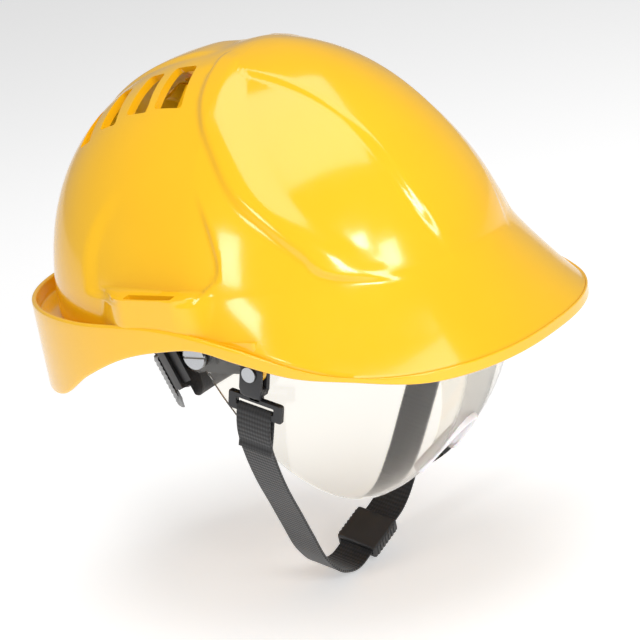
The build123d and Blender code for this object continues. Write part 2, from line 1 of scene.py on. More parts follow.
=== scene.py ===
# %% Load the fixed frame
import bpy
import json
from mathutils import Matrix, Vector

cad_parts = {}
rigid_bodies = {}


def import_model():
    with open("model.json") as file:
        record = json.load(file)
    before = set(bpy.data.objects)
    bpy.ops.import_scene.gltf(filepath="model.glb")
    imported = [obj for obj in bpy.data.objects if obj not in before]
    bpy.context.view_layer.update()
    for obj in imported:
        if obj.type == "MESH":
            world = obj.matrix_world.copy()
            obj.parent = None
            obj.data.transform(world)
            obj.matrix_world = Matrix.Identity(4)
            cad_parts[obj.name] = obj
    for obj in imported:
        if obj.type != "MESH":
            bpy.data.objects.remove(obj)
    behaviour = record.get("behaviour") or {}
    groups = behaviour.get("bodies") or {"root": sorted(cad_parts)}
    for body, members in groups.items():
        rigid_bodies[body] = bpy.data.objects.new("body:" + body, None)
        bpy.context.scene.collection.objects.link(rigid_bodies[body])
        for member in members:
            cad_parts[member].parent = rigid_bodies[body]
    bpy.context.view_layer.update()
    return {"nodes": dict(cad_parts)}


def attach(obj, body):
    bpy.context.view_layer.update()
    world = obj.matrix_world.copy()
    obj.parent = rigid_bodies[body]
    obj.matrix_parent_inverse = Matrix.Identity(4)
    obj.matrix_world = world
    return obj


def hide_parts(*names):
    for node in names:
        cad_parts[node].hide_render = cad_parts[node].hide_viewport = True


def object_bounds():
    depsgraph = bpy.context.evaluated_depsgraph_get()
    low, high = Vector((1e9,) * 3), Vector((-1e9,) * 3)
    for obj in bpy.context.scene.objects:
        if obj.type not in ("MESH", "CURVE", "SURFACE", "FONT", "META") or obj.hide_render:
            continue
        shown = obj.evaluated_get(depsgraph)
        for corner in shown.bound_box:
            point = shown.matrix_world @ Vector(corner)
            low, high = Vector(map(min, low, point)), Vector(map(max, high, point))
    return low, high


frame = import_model()

# %% [markdown]
# # A safety helmet, built around its working frame
# The frame holds the helmet's parts where they belong, in metres, with the peak facing -Y
# and the crown facing +Z.  The lesson gives each part the surface that a maker's tool leaves
# on it: a glossy moulded shell, a clear shield, webbing, padding and small black mouldings.
# All sizes below are in millimetres, because helmets are drawn in millimetres.

# %% Tools and units
import json
from math import atan2, cos, hypot, pi, radians, sin, sqrt

import bmesh
import bpy
import numpy as np
from mathutils import Matrix, Vector

MM = 0.001
COLUMNS = 400

# %% [markdown]
# ## Turning rows of points into a skin
# Most mouldings here are skins stretched over rows of points: sections of the shell, rings of
# a strap, hoops of a pad.  One helper joins neighbouring rows with four-sided faces, closes the
# ends if asked, and welds points that meet.  Modelling by hand would work as well, but rows
# that come from a formula can be changed by changing one size.

# %% Skins, pieces and smooth curves
def skin_faces(rows, columns, around=True, along=False, caps=True):
    """Faces between rows of points, numbered row by row."""
    faces = []
    for row in range(rows if along else rows - 1):
        after = (row + 1) % rows
        for column in range(columns if around else columns - 1):
            beside = (column + 1) % columns
            faces.append((
                row * columns + column,
                row * columns + beside,
                after * columns + beside,
                after * columns + column,
            ))
    if caps and around and not along:
        faces.append(tuple(reversed(range(columns))))
        faces.append(tuple(range((rows - 1) * columns, rows * columns)))
    return faces


def skin_mesh(parts):
    """One mesh from several (points, faces) parts; points are in millimetres."""
    mesh = bmesh.new()
    for points, faces in parts:
        corners = [mesh.verts.new(Vector(point) * MM) for point in np.reshape(points, (-1, 3))]
        for face in faces:
            mesh.faces.new([corners[index] for index in face])
    bmesh.ops.remove_doubles(mesh, verts=mesh.verts, dist=0.00001)
    bmesh.ops.recalc_face_normals(mesh, faces=mesh.faces)
    return mesh


def add_piece(name, mesh, body, material, replaces=(), sharp=35):
    """Put a mesh in the scene as one piece that rides on a body."""
    data = bpy.data.meshes.new(name)
    for edge in mesh.edges:
        if len(edge.link_faces) == 2 and edge.calc_face_angle(0) > radians(sharp):
            edge.smooth = False
    for face in mesh.faces:
        face.smooth = True
    mesh.to_mesh(data)
    mesh.free()
    piece = bpy.data.objects.new(name, data)
    bpy.context.scene.collection.objects.link(piece)
    piece.data.materials.append(material)
    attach(piece, body)
    if replaces:
        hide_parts(*replaces)
    print(f"{name}: {len(data.polygons)} faces on {body}")
    return piece


def smooth_step(value):
    value = np.clip(value, 0.0, 1.0)
    return value * value * (3 - 2 * value)


def curve_value(stations, where):
    """Smooth curve through (place, value) stations, read at a place."""
    places, values = np.array(stations, float).T
    slopes = np.gradient(values, places)
    where = np.clip(where, places[0], places[-1])
    left = np.clip(np.searchsorted(places, where, side="right") - 1, 0, len(places) - 2)
    width = places[left + 1] - places[left]
    share = (where - places[left]) / width
    start = (1 + 2 * share) * (1 - share) ** 2 * values[left]
    start += share * (1 - share) ** 2 * width * slopes[left]
    finish = share**2 * (3 - 2 * share) * values[left + 1]
    finish += share**2 * (share - 1) * width * slopes[left + 1]
    return start + finish


def path_through(stations, spacing, first=None, last=None):
    """Even points along a smooth curve through 2-D stations, with its unit directions."""
    stations = np.array(stations, float)
    gaps = np.linalg.norm(np.diff(stations, axis=0), axis=1)
    reach = np.concatenate([[0], np.cumsum(gaps)])
    slopes = np.gradient(stations, reach, axis=0)
    if first is not None:
        slopes[0] = first
    if last is not None:
        slopes[-1] = last
    fine = np.linspace(0, reach[-1], 4000)
    left = np.clip(np.searchsorted(reach, fine, side="right") - 1, 0, len(reach) - 2)
    width = (reach[left + 1] - reach[left])[:, None]
    share = (fine - reach[left])[:, None] / width
    line = (1 + 2 * share) * (1 - share) ** 2 * stations[left]
    line += share * (1 - share) ** 2 * width * slopes[left]
    line += share**2 * (3 - 2 * share) * stations[left + 1]
    line += share**2 * (share - 1) * width * slopes[left + 1]
    run = np.concatenate([[0], np.cumsum(np.linalg.norm(np.diff(line, axis=0), axis=1))])
    count = max(int(run[-1] / spacing), 8)
    even = np.linspace(0, run[-1], count)
    points = np.column_stack([np.interp(even, run, line[:, axis]) for axis in (0, 1)])
    ways = np.gradient(points, axis=0)
    ways /= np.linalg.norm(ways, axis=1)[:, None]
    return points, ways, run[-1]


# %% [markdown]
# ## Finishes
# Each material below starts from what the real one is.  Colours are written as they are seen
# on a screen and turned to linear light by one function.  A single helper adds a node, gives it
# its settings and links it, so that every finish reads as a short recipe.  Patterns use the
# object's own coordinates, which are metres, so a scale of 1000 / size gives a pattern of that
# size in millimetres.

# %% Colour and node helpers
def seen(hex_colour):
    """Linear colour for an sRGB hex value."""
    parts = [int(hex_colour[place : place + 2], 16) / 255 for place in (1, 3, 5)]
    linear = [part / 12.92 if part <= 0.04045 else ((part + 0.055) / 1.055) ** 2.4 for part in parts]
    return (*linear, 1.0)


def add_node(tree, kind, values=(), links=(), **settings):
    """Add one node, with its socket values, its incoming links and its own settings."""
    made = tree.nodes.new(kind)
    for name, value in settings.items():
        setattr(made, name, value)
    for socket, value in dict(values).items():
        made.inputs[socket].default_value = value
    for socket, source in dict(links).items():
        tree.links.new(source, made.inputs[socket])
    return made


def start_finish(name):
    """An empty material, its tree and its object coordinates."""
    material = bpy.data.materials.new(name)
    material.use_nodes = True
    tree = material.node_tree
    tree.nodes.clear()
    place = add_node(tree, "ShaderNodeTexCoord").outputs["Object"]
    return material, tree, place


def end_finish(tree, shader):
    add_node(tree, "ShaderNodeOutputMaterial", links={"Surface": shader.outputs["BSDF"]})


# %% [markdown]
# ### Moulded ABS shell
# The shell is injection-moulded ABS in safety yellow.  The polished tool leaves a gloss with a
# faint orange peel a few millimetres across, and handling leaves small changes of roughness.
# A slow noise shifts the pigment a little, as flow in the tool does.

# %% Shell finish
def moulded_abs():
    material, tree, place = start_finish("moulded_abs_yellow")
    flow = add_node(tree, "ShaderNodeTexNoise", {"Scale": 1000 / 60, "Detail": 3}, {"Vector": place})
    colour = add_node(
        tree,
        "ShaderNodeMix",
        {"A": seen("#F5B912"), "B": seen("#F9C11C")},
        {"Factor": flow.outputs["Fac"]},
        data_type="RGBA",
    )
    wear = add_node(tree, "ShaderNodeTexNoise", {"Scale": 1000 / 9, "Detail": 6}, {"Vector": place})
    rough = add_node(
        tree,
        "ShaderNodeMapRange",
        {"To Min": 0.10, "To Max": 0.2},
        {"Value": wear.outputs["Fac"]},
    )
    peel = add_node(tree, "ShaderNodeTexNoise", {"Scale": 1000 / 5, "Detail": 1}, {"Vector": place})
    bump = add_node(
        tree,
        "ShaderNodeBump",
        {"Strength": 0.05, "Distance": 0.4 * MM},
        {"Height": peel.outputs["Fac"]},
    )
    shader = add_node(
        tree,
        "ShaderNodeBsdfPrincipled",
        {"IOR": 1.53, "Coat Weight": 0.25, "Coat Roughness": 0.06},
        {
            "Base Color": colour.outputs["Result"],
            "Roughness": rough.outputs["Result"],
            "Normal": bump.outputs["Normal"],
        },
    )
    end_finish(tree, shader)
    return material


shell_yellow = moulded_abs()
print("finish:", shell_yellow.name)

# %% [markdown]
# ### Black mouldings
# The cradle is a tough, slightly textured black plastic, the ratchet gear is glossier nylon.
# One recipe serves both, the hooks and the buckle: a spark-eroded tool grain of a given size, a grey value that wanders
# a little, and a roughness range.  Only the numbers differ.

# %% Black plastic finishes
def moulded_black(name, dark, light, smoothest, roughest, grain, relief):
    material, tree, place = start_finish(name)
    cloud = add_node(tree, "ShaderNodeTexNoise", {"Scale": 1000 / 14, "Detail": 4}, {"Vector": place})
    colour = add_node(
        tree,
        "ShaderNodeMix",
        {"A": seen(dark), "B": seen(light)},
        {"Factor": cloud.outputs["Fac"]},
        data_type="RGBA",
    )
    rough = add_node(
        tree,
        "ShaderNodeMapRange",
        {"To Min": smoothest, "To Max": roughest},
        {"Value": cloud.outputs["Fac"]},
    )
    spark = add_node(tree, "ShaderNodeTexNoise", {"Scale": 1000 / grain, "Detail": 3}, {"Vector": place})
    bump = add_node(
        tree,
        "ShaderNodeBump",
        {"Strength": relief, "Distance": 0.3 * MM},
        {"Height": spark.outputs["Fac"]},
    )
    shader = add_node(
        tree,
        "ShaderNodeBsdfPrincipled",
        {"IOR": 1.5},
        {
            "Base Color": colour.outputs["Result"],
            "Roughness": rough.outputs["Result"],
            "Normal": bump.outputs["Normal"],
        },
    )
    end_finish(tree, shader)
    return material


cradle_black = moulded_black("grained_polyethylene_black", "#1A1A1B", "#262628", 0.38, 0.55, 0.9, 0.25)
gear_black = moulded_black("polished_nylon_black", "#121213", "#1E1E20", 0.2, 0.34, 1.6, 0.1)
hook_black = moulded_black("moulded_acetal_black", "#17171A", "#242427", 0.3, 0.42, 0.8, 0.15)
fold_black = moulded_black("moulded_polyamide_grey_black", "#2E2E2F", "#3A3A3B", 0.4, 0.5, 0.8, 0.15)
print("black finishes:", cradle_black.name, gear_black.name, hook_black.name, fold_black.name)

# %% [markdown]
# ### Woven webbing
# Polyester narrow fabric: fat weft picks run across the strap about every 1.3 mm and fine warp
# yarns run along it.  The straps carry a map of their flat cloth in metres, so the weave
# follows every bend.  Two waves, one each way, make the ribs and the yarns.

# %% Webbing finish
def woven_polyester(name, dark, light, pick, yarn):
    material, tree, _ = start_finish(name)
    cloth = add_node(tree, "ShaderNodeUVMap", uv_map="cloth").outputs["UV"]
    ribs = add_node(
        tree,
        "ShaderNodeTexWave",
        {"Scale": 1000 / pick * 2 * pi / 40, "Distortion": 0.4, "Detail": 1},
        {"Vector": cloth},
        bands_direction="X",
    )
    yarns = add_node(
        tree,
        "ShaderNodeTexWave",
        {"Scale": 1000 / yarn * 2 * pi / 40, "Distortion": 0.3},
        {"Vector": cloth},
        bands_direction="Y",
    )
    weave = add_node(
        tree,
        "ShaderNodeMix",
        {"Factor": 0.3},
        {"A": ribs.outputs["Fac"], "B": yarns.outputs["Fac"]},
        data_type="FLOAT",
    )
    colour = add_node(
        tree,
        "ShaderNodeMix",
        {"A": seen(dark), "B": seen(light)},
        {"Factor": weave.outputs["Result"]},
        data_type="RGBA",
    )
    bump = add_node(
        tree,
        "ShaderNodeBump",
        {"Strength": 0.7, "Distance": 0.35 * MM},
        {"Height": weave.outputs["Result"]},
    )
    shader = add_node(
        tree,
        "ShaderNodeBsdfPrincipled",
        {"Roughness": 0.72, "Sheen Weight": 0.25, "Sheen Roughness": 0.5, "IOR": 1.45},
        {"Base Color": colour.outputs["Result"], "Normal": bump.outputs["Normal"]},
    )
    end_finish(tree, shader)
    return material


webbing_black = woven_polyester("woven_polyester_black", "#0C0C0D", "#29292B", 1.3, 0.8)
print("finish:", webbing_black.name)

# %% [markdown]
# ### Brow padding
# The sweat band, nape pad and crown pad are foam under a brushed knit.  The knit reads as a
# fine, uneven cell pattern with a soft sheen; the foam under it gives slow dents.

# %% Padding finish
def brushed_knit():
    material, tree, place = start_finish("brushed_knit_charcoal")
    cells = add_node(tree, "ShaderNodeTexVoronoi", {"Scale": 1000 / 1.4}, {"Vector": place})
    dents = add_node(tree, "ShaderNodeTexNoise", {"Scale": 1000 / 12, "Detail": 3}, {"Vector": place})
    colour = add_node(
        tree,
        "ShaderNodeMix",
        {"A": seen("#2C2D30"), "B": seen("#191A1C")},
        {"Factor": cells.outputs["Distance"]},
        data_type="RGBA",
    )
    relief = add_node(
        tree,
        "ShaderNodeMix",
        {"Factor": 0.4},
        {"A": cells.outputs["Distance"], "B": dents.outputs["Fac"]},
        data_type="FLOAT",
    )
    bump = add_node(
        tree,
        "ShaderNodeBump",
        {"Strength": 0.6, "Distance": 0.5 * MM},
        {"Height": relief.outputs["Result"]},
    )
    shader = add_node(
        tree,
        "ShaderNodeBsdfPrincipled",
        {"Roughness": 0.88, "Sheen Weight": 0.4, "Sheen Roughness": 0.4},
        {"Base Color": colour.outputs["Result"], "Normal": bump.outputs["Normal"]},
    )
    end_finish(tree, shader)
    return material


knit_charcoal = brushed_knit()
print("finish:", knit_charcoal.name)

# %% [markdown]
# ### Clear polycarbonate, white rubber and plated steel
# The shield is clear polycarbonate with a warm trace of colour.  A band down its middle is
# lightly frosted, with edges that fade out.  The nose rest is milky silicone rubber, which
# lets a little light into itself, and the screws are zinc-plated steel, whose gloss a fine noise
# varies.

# %% Shield, rubber and steel finishes
def clear_polycarbonate():
    material, tree, place = start_finish("clear_polycarbonate")
    haze = add_node(tree, "ShaderNodeTexNoise", {"Scale": 1000 / 18, "Detail": 4}, {"Vector": place})
    across = add_node(tree, "ShaderNodeSeparateXYZ", links={"Vector": place})
    reach = add_node(tree, "ShaderNodeMath", links={0: across.outputs["X"]}, operation="ABSOLUTE")
    frosted = add_node(
        tree,
        "ShaderNodeMapRange",
        {"From Min": 0.014, "From Max": 0.019, "To Min": 0.3, "To Max": 0.03},
        {"Value": reach.outputs[0]},
    )
    rough = add_node(
        tree,
        "ShaderNodeMath",
        {1: 0.02},
        {0: haze.outputs["Fac"], 2: frosted.outputs["Result"]},
        operation="MULTIPLY_ADD",
    )
    shader = add_node(
        tree,
        "ShaderNodeBsdfPrincipled",
        {"Base Color": seen("#F6F3EC"), "IOR": 1.45, "Transmission Weight": 1.0},
        {"Roughness": rough.outputs[0]},
    )
    end_finish(tree, shader)
    return material


def silicone_white():
    material, tree, place = start_finish("milky_silicone_rubber")
    cloud = add_node(tree, "ShaderNodeTexNoise", {"Scale": 1000 / 6, "Detail": 3}, {"Vector": place})
    colour = add_node(
        tree,
        "ShaderNodeMix",
        {"A": seen("#E9E7EC"), "B": seen("#F7F6F8")},
        {"Factor": cloud.outputs["Fac"]},
        data_type="RGBA",
    )
    bump = add_node(
        tree,
        "ShaderNodeBump",
        {"Strength": 0.1, "Distance": 0.2 * MM},
        {"Height": cloud.outputs["Fac"]},
    )
    shader = add_node(
        tree,
        "ShaderNodeBsdfPrincipled",
        {"Roughness": 0.42, "IOR": 1.41, "Subsurface Weight": 0.2, "Subsurface Scale": 2 * MM},
        {"Base Color": colour.outputs["Result"], "Normal": bump.outputs["Normal"]},
    )
    end_finish(tree, shader)
    return material


def plated_steel():
    material, tree, place = start_finish("zinc_plated_steel")
    lathe = add_node(
        tree,
        "ShaderNodeTexNoise",
        {"Scale": 1000 / 0.7, "Detail": 4},
        {"Vector": place},
    )
    rough = add_node(
        tree,
        "ShaderNodeMapRange",
        {"To Min": 0.25, "To Max": 0.42},
        {"Value": lathe.outputs["Fac"]},
    )
    colour = add_node(
        tree,
        "ShaderNodeMix",
        {"A": seen("#A9ABAE"), "B": seen("#C2C4C7")},
        {"Factor": lathe.outputs["Fac"]},
        data_type="RGBA",
    )
    shader = add_node(
        tree,
        "ShaderNodeBsdfPrincipled",
        {"Metallic": 1.0},
        {"Base Color": colour.outputs["Result"], "Roughness": rough.outputs["Result"]},
    )
    end_finish(tree, shader)
    return material


lens_clear = clear_polycarbonate()
rubber_white = silicone_white()
steel_plated = plated_steel()
print("finishes:", lens_clear.name, rubber_white.name, steel_plated.name)

# %% [markdown]
# ## The shell
# A helmet shell is one moulding: a dome that is rounder at the sides than at the rear, a peak
# that flares out of the front, and a rain gutter with an upstanding lip round the back.  It
# could be sculpted, but every one of those is a radius at an angle and a height, so the shell
# is drawn as one closed cross-section for each direction from the front round to the back.

# %% Driving sizes of the shell
WALL = 3.0
CROWN_HEIGHT = 153.0
DOME_BASE = 20.0
DOME_SIZE = (107.0, 118.0, 143.0)
FRONT_PLAN_POWER, REAR_PLAN_POWER, PLAN_BLEND = 1.92, 2.25, 60.0
SECTION_POWER, FRONT_LEAN, REAR_LEAN, SIDE_LEAN = 2.2, 0.42, 0.2, 0.34
RIM_PLAN = (112.0, 145.0, 155.0, 2.5)
FLARE_TOP = 50.0
FLARE_POWER = 1.5
BEAD = 1.2
GUTTER_FLOOR = 26.5
LIP_WALL = 3.0
ROOF_UNDER_GUTTER = 23.0
LOWER_EDGE = [(-147, 0), (-120, 1), (-88, 7.5), (-60, 11.6), (-30, 19.7), (-8, 25.2), (16, 23.9)]
LOWER_EDGE += [(40, 19.4), (76, 5.3), (105, -10), (125, -13), (158, -13)]
LIP_LINE = [(-147, 6), (-102, 8), (-76, 12.5), (-31, 27), (9, 35.5), (80, 35.5), (158, 35.5)]


def oval(turn, side, front, rear, power):
    """Plan radius, at a turn from the front, of an egg made of two superellipses."""
    along = np.abs(np.cos(turn)) / np.where(np.cos(turn) > 0, front, rear)
    return ((np.abs(np.sin(turn)) / side) ** power + along**power) ** (-1 / power)


def dome_plan(turn):
    """Plan radius of the dome, which is more pointed in front than behind."""
    backness = smooth_step((np.abs(np.degrees(turn)) - PLAN_BLEND) / PLAN_BLEND)
    power = FRONT_PLAN_POWER + (REAR_PLAN_POWER - FRONT_PLAN_POWER) * backness
    return oval(turn, *DOME_SIZE, power)


def section_power(turn):
    """How square the dome's section is: flatter in front, fuller at the rear."""
    lean = np.where(np.cos(turn) > 0, FRONT_LEAN, REAR_LEAN)
    return SECTION_POWER - lean * np.cos(turn) - SIDE_LEAN * np.sin(turn) ** 2


def shell_radius(turn, height):
    """Radius of the outer skin: the dome, with the flare of the peak below it."""
    base = dome_plan(turn)
    power = section_power(turn)
    rise = np.clip((height - DOME_BASE) / (CROWN_HEIGHT - DOME_BASE), 0, 1)
    radius = base * (1 - rise**power) ** (1 / power)
    degrees = np.abs(np.degrees(turn))
    frontness = smooth_step((100 - degrees) / 40)
    edge = 6 + 22 * smooth_step((degrees - 35) / 45)
    drop = np.clip((FLARE_TOP - height) / (FLARE_TOP - edge), 0, 1)
    rim = oval(turn, *RIM_PLAN) - BEAD
    return radius + frontness * (rim - base) * drop**FLARE_POWER


print("crown height", CROWN_HEIGHT, "mm, rim", 2 * RIM_PLAN[0], "mm wide")

# %% [markdown]
# The outside isn't a plain dome.  A raised panel runs over the middle from crown to peak, a
# rib sweeps from the crown down towards the rim on each side, the dome is dished above each ear down
# to the ledge of the accessory socket, and a low spine runs between the vents.  Each is a
# small height added to the skin or taken from it, with an edge as soft as the tool's radius.

# %% Relief of the outside
PANEL_HALF = [(-122, 24), (-113, 26), (-108, 28), (-98, 31), (-73, 30), (-54, 30), (3, 31), (40, 30)]
RIB_REAR = [(40, -112), (44, -100), (54, -70), (65, -58), (78, -43)]
RIB_REAR += [(94, -24), (111, -10), (136, 9), (153, 14)]
RIB_FRONT = [(40, -126), (44, -112), (54, -88), (65, -75), (78, -60)]
RIB_FRONT += [(94, -42), (111, -28), (136, -9), (153, -4)]
RIB_HEIGHT = 2.6
PANEL_HEIGHT = 2.0
DISH_FRONT = [(40, -4), (53.6, -11.3), (58.4, -17.3), (65.3, -18.5)]
DISH_FRONT += [(72.9, -16.1), (84.8, -10.6), (93.9, -5.4), (110, 6)]
DISH_REAR = [(40, 60), (47.5, 68.4), (58.8, 70.2), (76.3, 65.9), (95, 52), (110, 40)]
DISH_DEPTH = 2.3
SOCKET_TOP = 52.0
SOCKET_FACE = 110.8
SOCKET_SPAN = (2.2, 35.8)


def relief(x, y, z):
    """Height added to the outer skin, in millimetres."""
    across = np.abs(x)
    half = curve_value(PANEL_HALF, y)
    panel = smooth_step((half - across) / 5 + 0.5)
    panel *= smooth_step((28 - y) / 26) * smooth_step((z - 40) / 34)
    front = curve_value(RIB_FRONT, z)
    rear = curve_value(RIB_REAR, z)
    rib = smooth_step((y - front) / 15 + 0.4) * smooth_step((rear - y) / 5 + 0.5)
    rib *= smooth_step((z - 36) / 16) * smooth_step((y + 106) / 44)
    rib *= smooth_step((across - 6) / 20)
    raised = np.maximum(panel * PANEL_HEIGHT, rib * RIB_HEIGHT)
    dish = smooth_step((y - curve_value(DISH_FRONT, z)) / 3 + 0.5)
    dish *= smooth_step((curve_value(DISH_REAR, z) - y) / 12 + 0.3)
    dish *= smooth_step((z - 47) / 3) * smooth_step((104 - z) / 26) * smooth_step((across - 60) / 14)
    spine = smooth_step((17 - across) / 6) * smooth_step((y - 18) / 22) * smooth_step((118 - y) / 26)
    return raised - DISH_DEPTH * dish + 1.6 * spine


def socket_swell(x, y, z):
    """How far the skin swells out to the face of the accessory socket."""
    along = smooth_step((y - SOCKET_SPAN[0] + 20) / 22) * smooth_step((SOCKET_SPAN[1] + 24 - y) / 26)
    level = smooth_step((SOCKET_TOP + 0.4 - z) / 1.2) * smooth_step((z - 27) / 3)
    return along * level * np.maximum(SOCKET_FACE - np.abs(x), 0)


print("rib", RIB_HEIGHT, "mm, panel", PANEL_HEIGHT, "mm, dish", DISH_DEPTH, "mm")

# %% [markdown]
# One cross-section runs from the crown, down the dome or the peak, along the gutter floor, over
# the lip, down the skirt, round its lower edge, up the inside and back to the crown.  The gutter
# fades where the lip runs into the rim, so its depth is worked out for each direction.

# %% Cross-sections of the shell
def share_list(count, first=0.0, last=1.0):
    return np.linspace(first, last, count)


def outer_rows(turns):
    """Radius and height of the outer skin, from the crown down to the gutter or rim."""
    rim = oval(turns, *RIM_PLAN)
    along = -rim * np.cos(turns)
    low = curve_value(LOWER_EDGE, along)
    lip = curve_value(LIP_LINE, along)
    degrees = np.abs(np.degrees(turns))
    floor_radius = shell_radius(turns, lip)
    room = rim - LIP_WALL - floor_radius
    deep = np.minimum(lip - GUTTER_FLOOR, lip - low - WALL)
    depth = np.maximum(deep, 0) * smooth_step((degrees - 58) / 40) * smooth_step(room / 4)
    return rim, low, lip, lip - depth, depth


def shell_rings():
    turns = np.radians(np.linspace(-180, 180, COLUMNS, endpoint=False))
    rim, low, lip, floor, depth = outer_rows(turns)
    power = section_power(turns)
    split = 57.0
    end = np.arccos(((split - DOME_BASE) / (CROWN_HEIGHT - DOME_BASE)) ** (power / 2))
    heights = []
    for share in share_list(66):
        heights.append(DOME_BASE + (CROWN_HEIGHT - DOME_BASE) * np.cos(share * end) ** (2 / power))
    for share in share_list(44)[1:]:
        heights.append(split + (floor - split) * share)
    heights = np.array(heights)
    radii = np.array([shell_radius(turns, row) for row in heights])
    radii[0] = 0
    dome = np.stack([radii * np.sin(turns), -radii * np.cos(turns), heights], axis=2)
    down = np.gradient(dome, axis=0)
    around = np.roll(dome, -1, axis=1) - np.roll(dome, 1, axis=1)
    normal = np.cross(down, around)
    normal /= np.maximum(np.linalg.norm(normal, axis=2), 1e-9)[:, :, None]
    normal *= np.sign(np.sum(normal * (dome - np.array([0, 5, 20])), axis=2))[:, :, None]
    normal[0] = (0, 0, 1)
    x, y, z = dome[:, :, 0], dome[:, :, 1], dome[:, :, 2]
    fade = smooth_step((z - floor[None, :]) / 4)
    dome += normal * (relief(x, y, z) * fade)[:, :, None]
    dome[:, :, 0] += np.sign(x) * socket_swell(dome[:, :, 0], y, z)
    rows = [row for row in dome]

    def add(radius, height):
        rows.append(np.stack([radius * np.sin(turns), -radius * np.cos(turns), height], axis=1))

    foot = shell_radius(turns, floor)
    inner_lip = np.maximum(rim - LIP_WALL, foot + 0.3)
    curl = np.minimum(1.4, 0.3 * (inner_lip - foot))
    rise = np.minimum(1.4, 0.45 * depth)
    for share in share_list(5, 0.1, 1.0):
        add(foot + (inner_lip - foot) * 0.5 * share, floor)
    for share in share_list(4, 0.2, 1.0):
        turn = share * pi / 2
        add(inner_lip - curl + curl * sin(turn), floor + rise * (1 - cos(turn)))
    top_round = np.minimum(1.4, 0.5 * (rim - inner_lip))
    for share in share_list(3, 0.3, 1.0):
        add(inner_lip, floor + rise + (lip - top_round - floor - rise) * share)
    for share in share_list(5, 0.2, 1.0):
        turn = share * pi / 2
        add(inner_lip + top_round * (1 - cos(turn)), lip - top_round + top_round * sin(turn))
    for share in share_list(5, 0.1, 1.0):
        turn = share * pi / 2
        add(rim - top_round + top_round * sin(turn), lip - top_round + top_round * cos(turn))
    edge_round = 1.3
    face_low = low + edge_round
    for share in share_list(9, 0.12, 1.0):
        add(rim, lip - top_round + (face_low - lip + top_round) * share)
    for share in share_list(4, 0.25, 1.0):
        turn = share * pi / 2
        add(rim - edge_round + edge_round * cos(turn), face_low - edge_round * sin(turn))
    behind = smooth_step((22 - low) / 6) * smooth_step((np.abs(np.degrees(turns)) - 88) / 8)

    def inside(height):
        dome_inside = shell_radius(turns, height + WALL) - WALL
        return dome_inside + (rim - LIP_WALL - dome_inside) * behind

    for share in share_list(4, 0.0, 1.0):
        turn = share * pi / 2
        add(inside(face_low) + edge_round * (1 - sin(turn)), face_low - edge_round * cos(turn))
    roof = np.maximum(ROOF_UNDER_GUTTER, low + edge_round + 0.5)
    for share in share_list(8, 0.12, 1.0):
        height = face_low + (roof - face_low) * share
        add(inside(height), height)
    wide = inside(roof)
    narrow = shell_radius(turns, roof + WALL) - WALL
    for share in share_list(4, 0.2, 1.0):
        add(wide + (narrow - wide) * share, roof + 0.2 * share)
    start = roof + 0.2
    for share in share_list(14, 0.07, 1.0):
        height = start + (split - start) * share
        add(shell_radius(turns, height + WALL) - WALL, height)
    for share in share_list(30, 0.96, 0.0):
        height = DOME_BASE + (CROWN_HEIGHT - DOME_BASE) * np.cos(share * end) ** (2 / power)
        add(np.maximum(shell_radius(turns, height) - WALL, 0) * (share > 0.01), height - WALL)
    return np.array(rows)


rings = shell_rings()
shell_mesh = skin_mesh([(rings, skin_faces(*rings.shape[:2], around=True, along=False, caps=False))])
open_edges = sum(1 for edge in shell_mesh.edges if len(edge.link_faces) != 2)
print("shell:", rings.shape, "open edges:", open_edges)

# %% [markdown]
# ### Vents, sockets and lugs
# Four slanted vents on each side of the crown let warm air out, and a narrow pocket above each
# ear takes the foot of an ear defender.  They are cut from the finished skin, as the tool's
# cores do.  Cutters are prisms with rounded corners, and one Boolean takes them all.

# %% Cutters and lugs
VENTS = [
    ((29, 25.5, 40.5), (53, 19, 37)),
    ((30, 46.5, 59), (53, 40.5, 56.5)),
    ((31, 68, 80.5), (53, 61.5, 77)),
    ((33, 87.5, 99), (51.5, 81.5, 96)),
]
VENT_LEAN = 38.0
LUG = {
    "x": 97.0,
    "y": -30.0,
    "z": 11.0,
    "thick": 3.0,
    "radius": 6.0,
    "top": 30.0,
    "half": 12.0,
    "bore": 2.45,
}


def rounded_outline(corners, radius, steps=5):
    """Corner points of a 2-D outline with each corner rounded by a quadratic curve."""
    outline = []
    count = len(corners)
    for index in range(count):
        here = np.array(corners[index], float)
        before = np.array(corners[index - 1], float) - here
        after = np.array(corners[(index + 1) % count], float) - here
        start = here + before / np.linalg.norm(before) * min(radius, 0.45 * np.linalg.norm(before))
        finish = here + after / np.linalg.norm(after) * min(radius, 0.45 * np.linalg.norm(after))
        for share in share_list(steps):
            outline.append((1 - share) ** 2 * start + 2 * share * (1 - share) * here + share**2 * finish)
    return np.array(outline)


def as_points(*items):
    """The same items as arrays, so that they can be scaled and added."""
    return [np.array(item, float) for item in items]


def prism(outline, place, along_u, along_v, along_w, low, high):
    """Closed prism of a 2-D outline, placed by three directions."""
    place, along_u, along_v, along_w = as_points(place, along_u, along_v, along_w)
    rows = []
    for depth in (low, high):
        rows.append([place + u * along_u + v * along_v + depth * along_w for u, v in outline])
    return np.array(rows), skin_faces(2, len(outline))


def roof_level(x, y):
    """Height of the dome above a place in plan."""
    turn = atan2(x, -y)
    share = hypot(x, y) / float(dome_plan(turn))
    power = float(section_power(turn))
    return DOME_BASE + (CROWN_HEIGHT - DOME_BASE) * (1 - share**power) ** (1 / power)


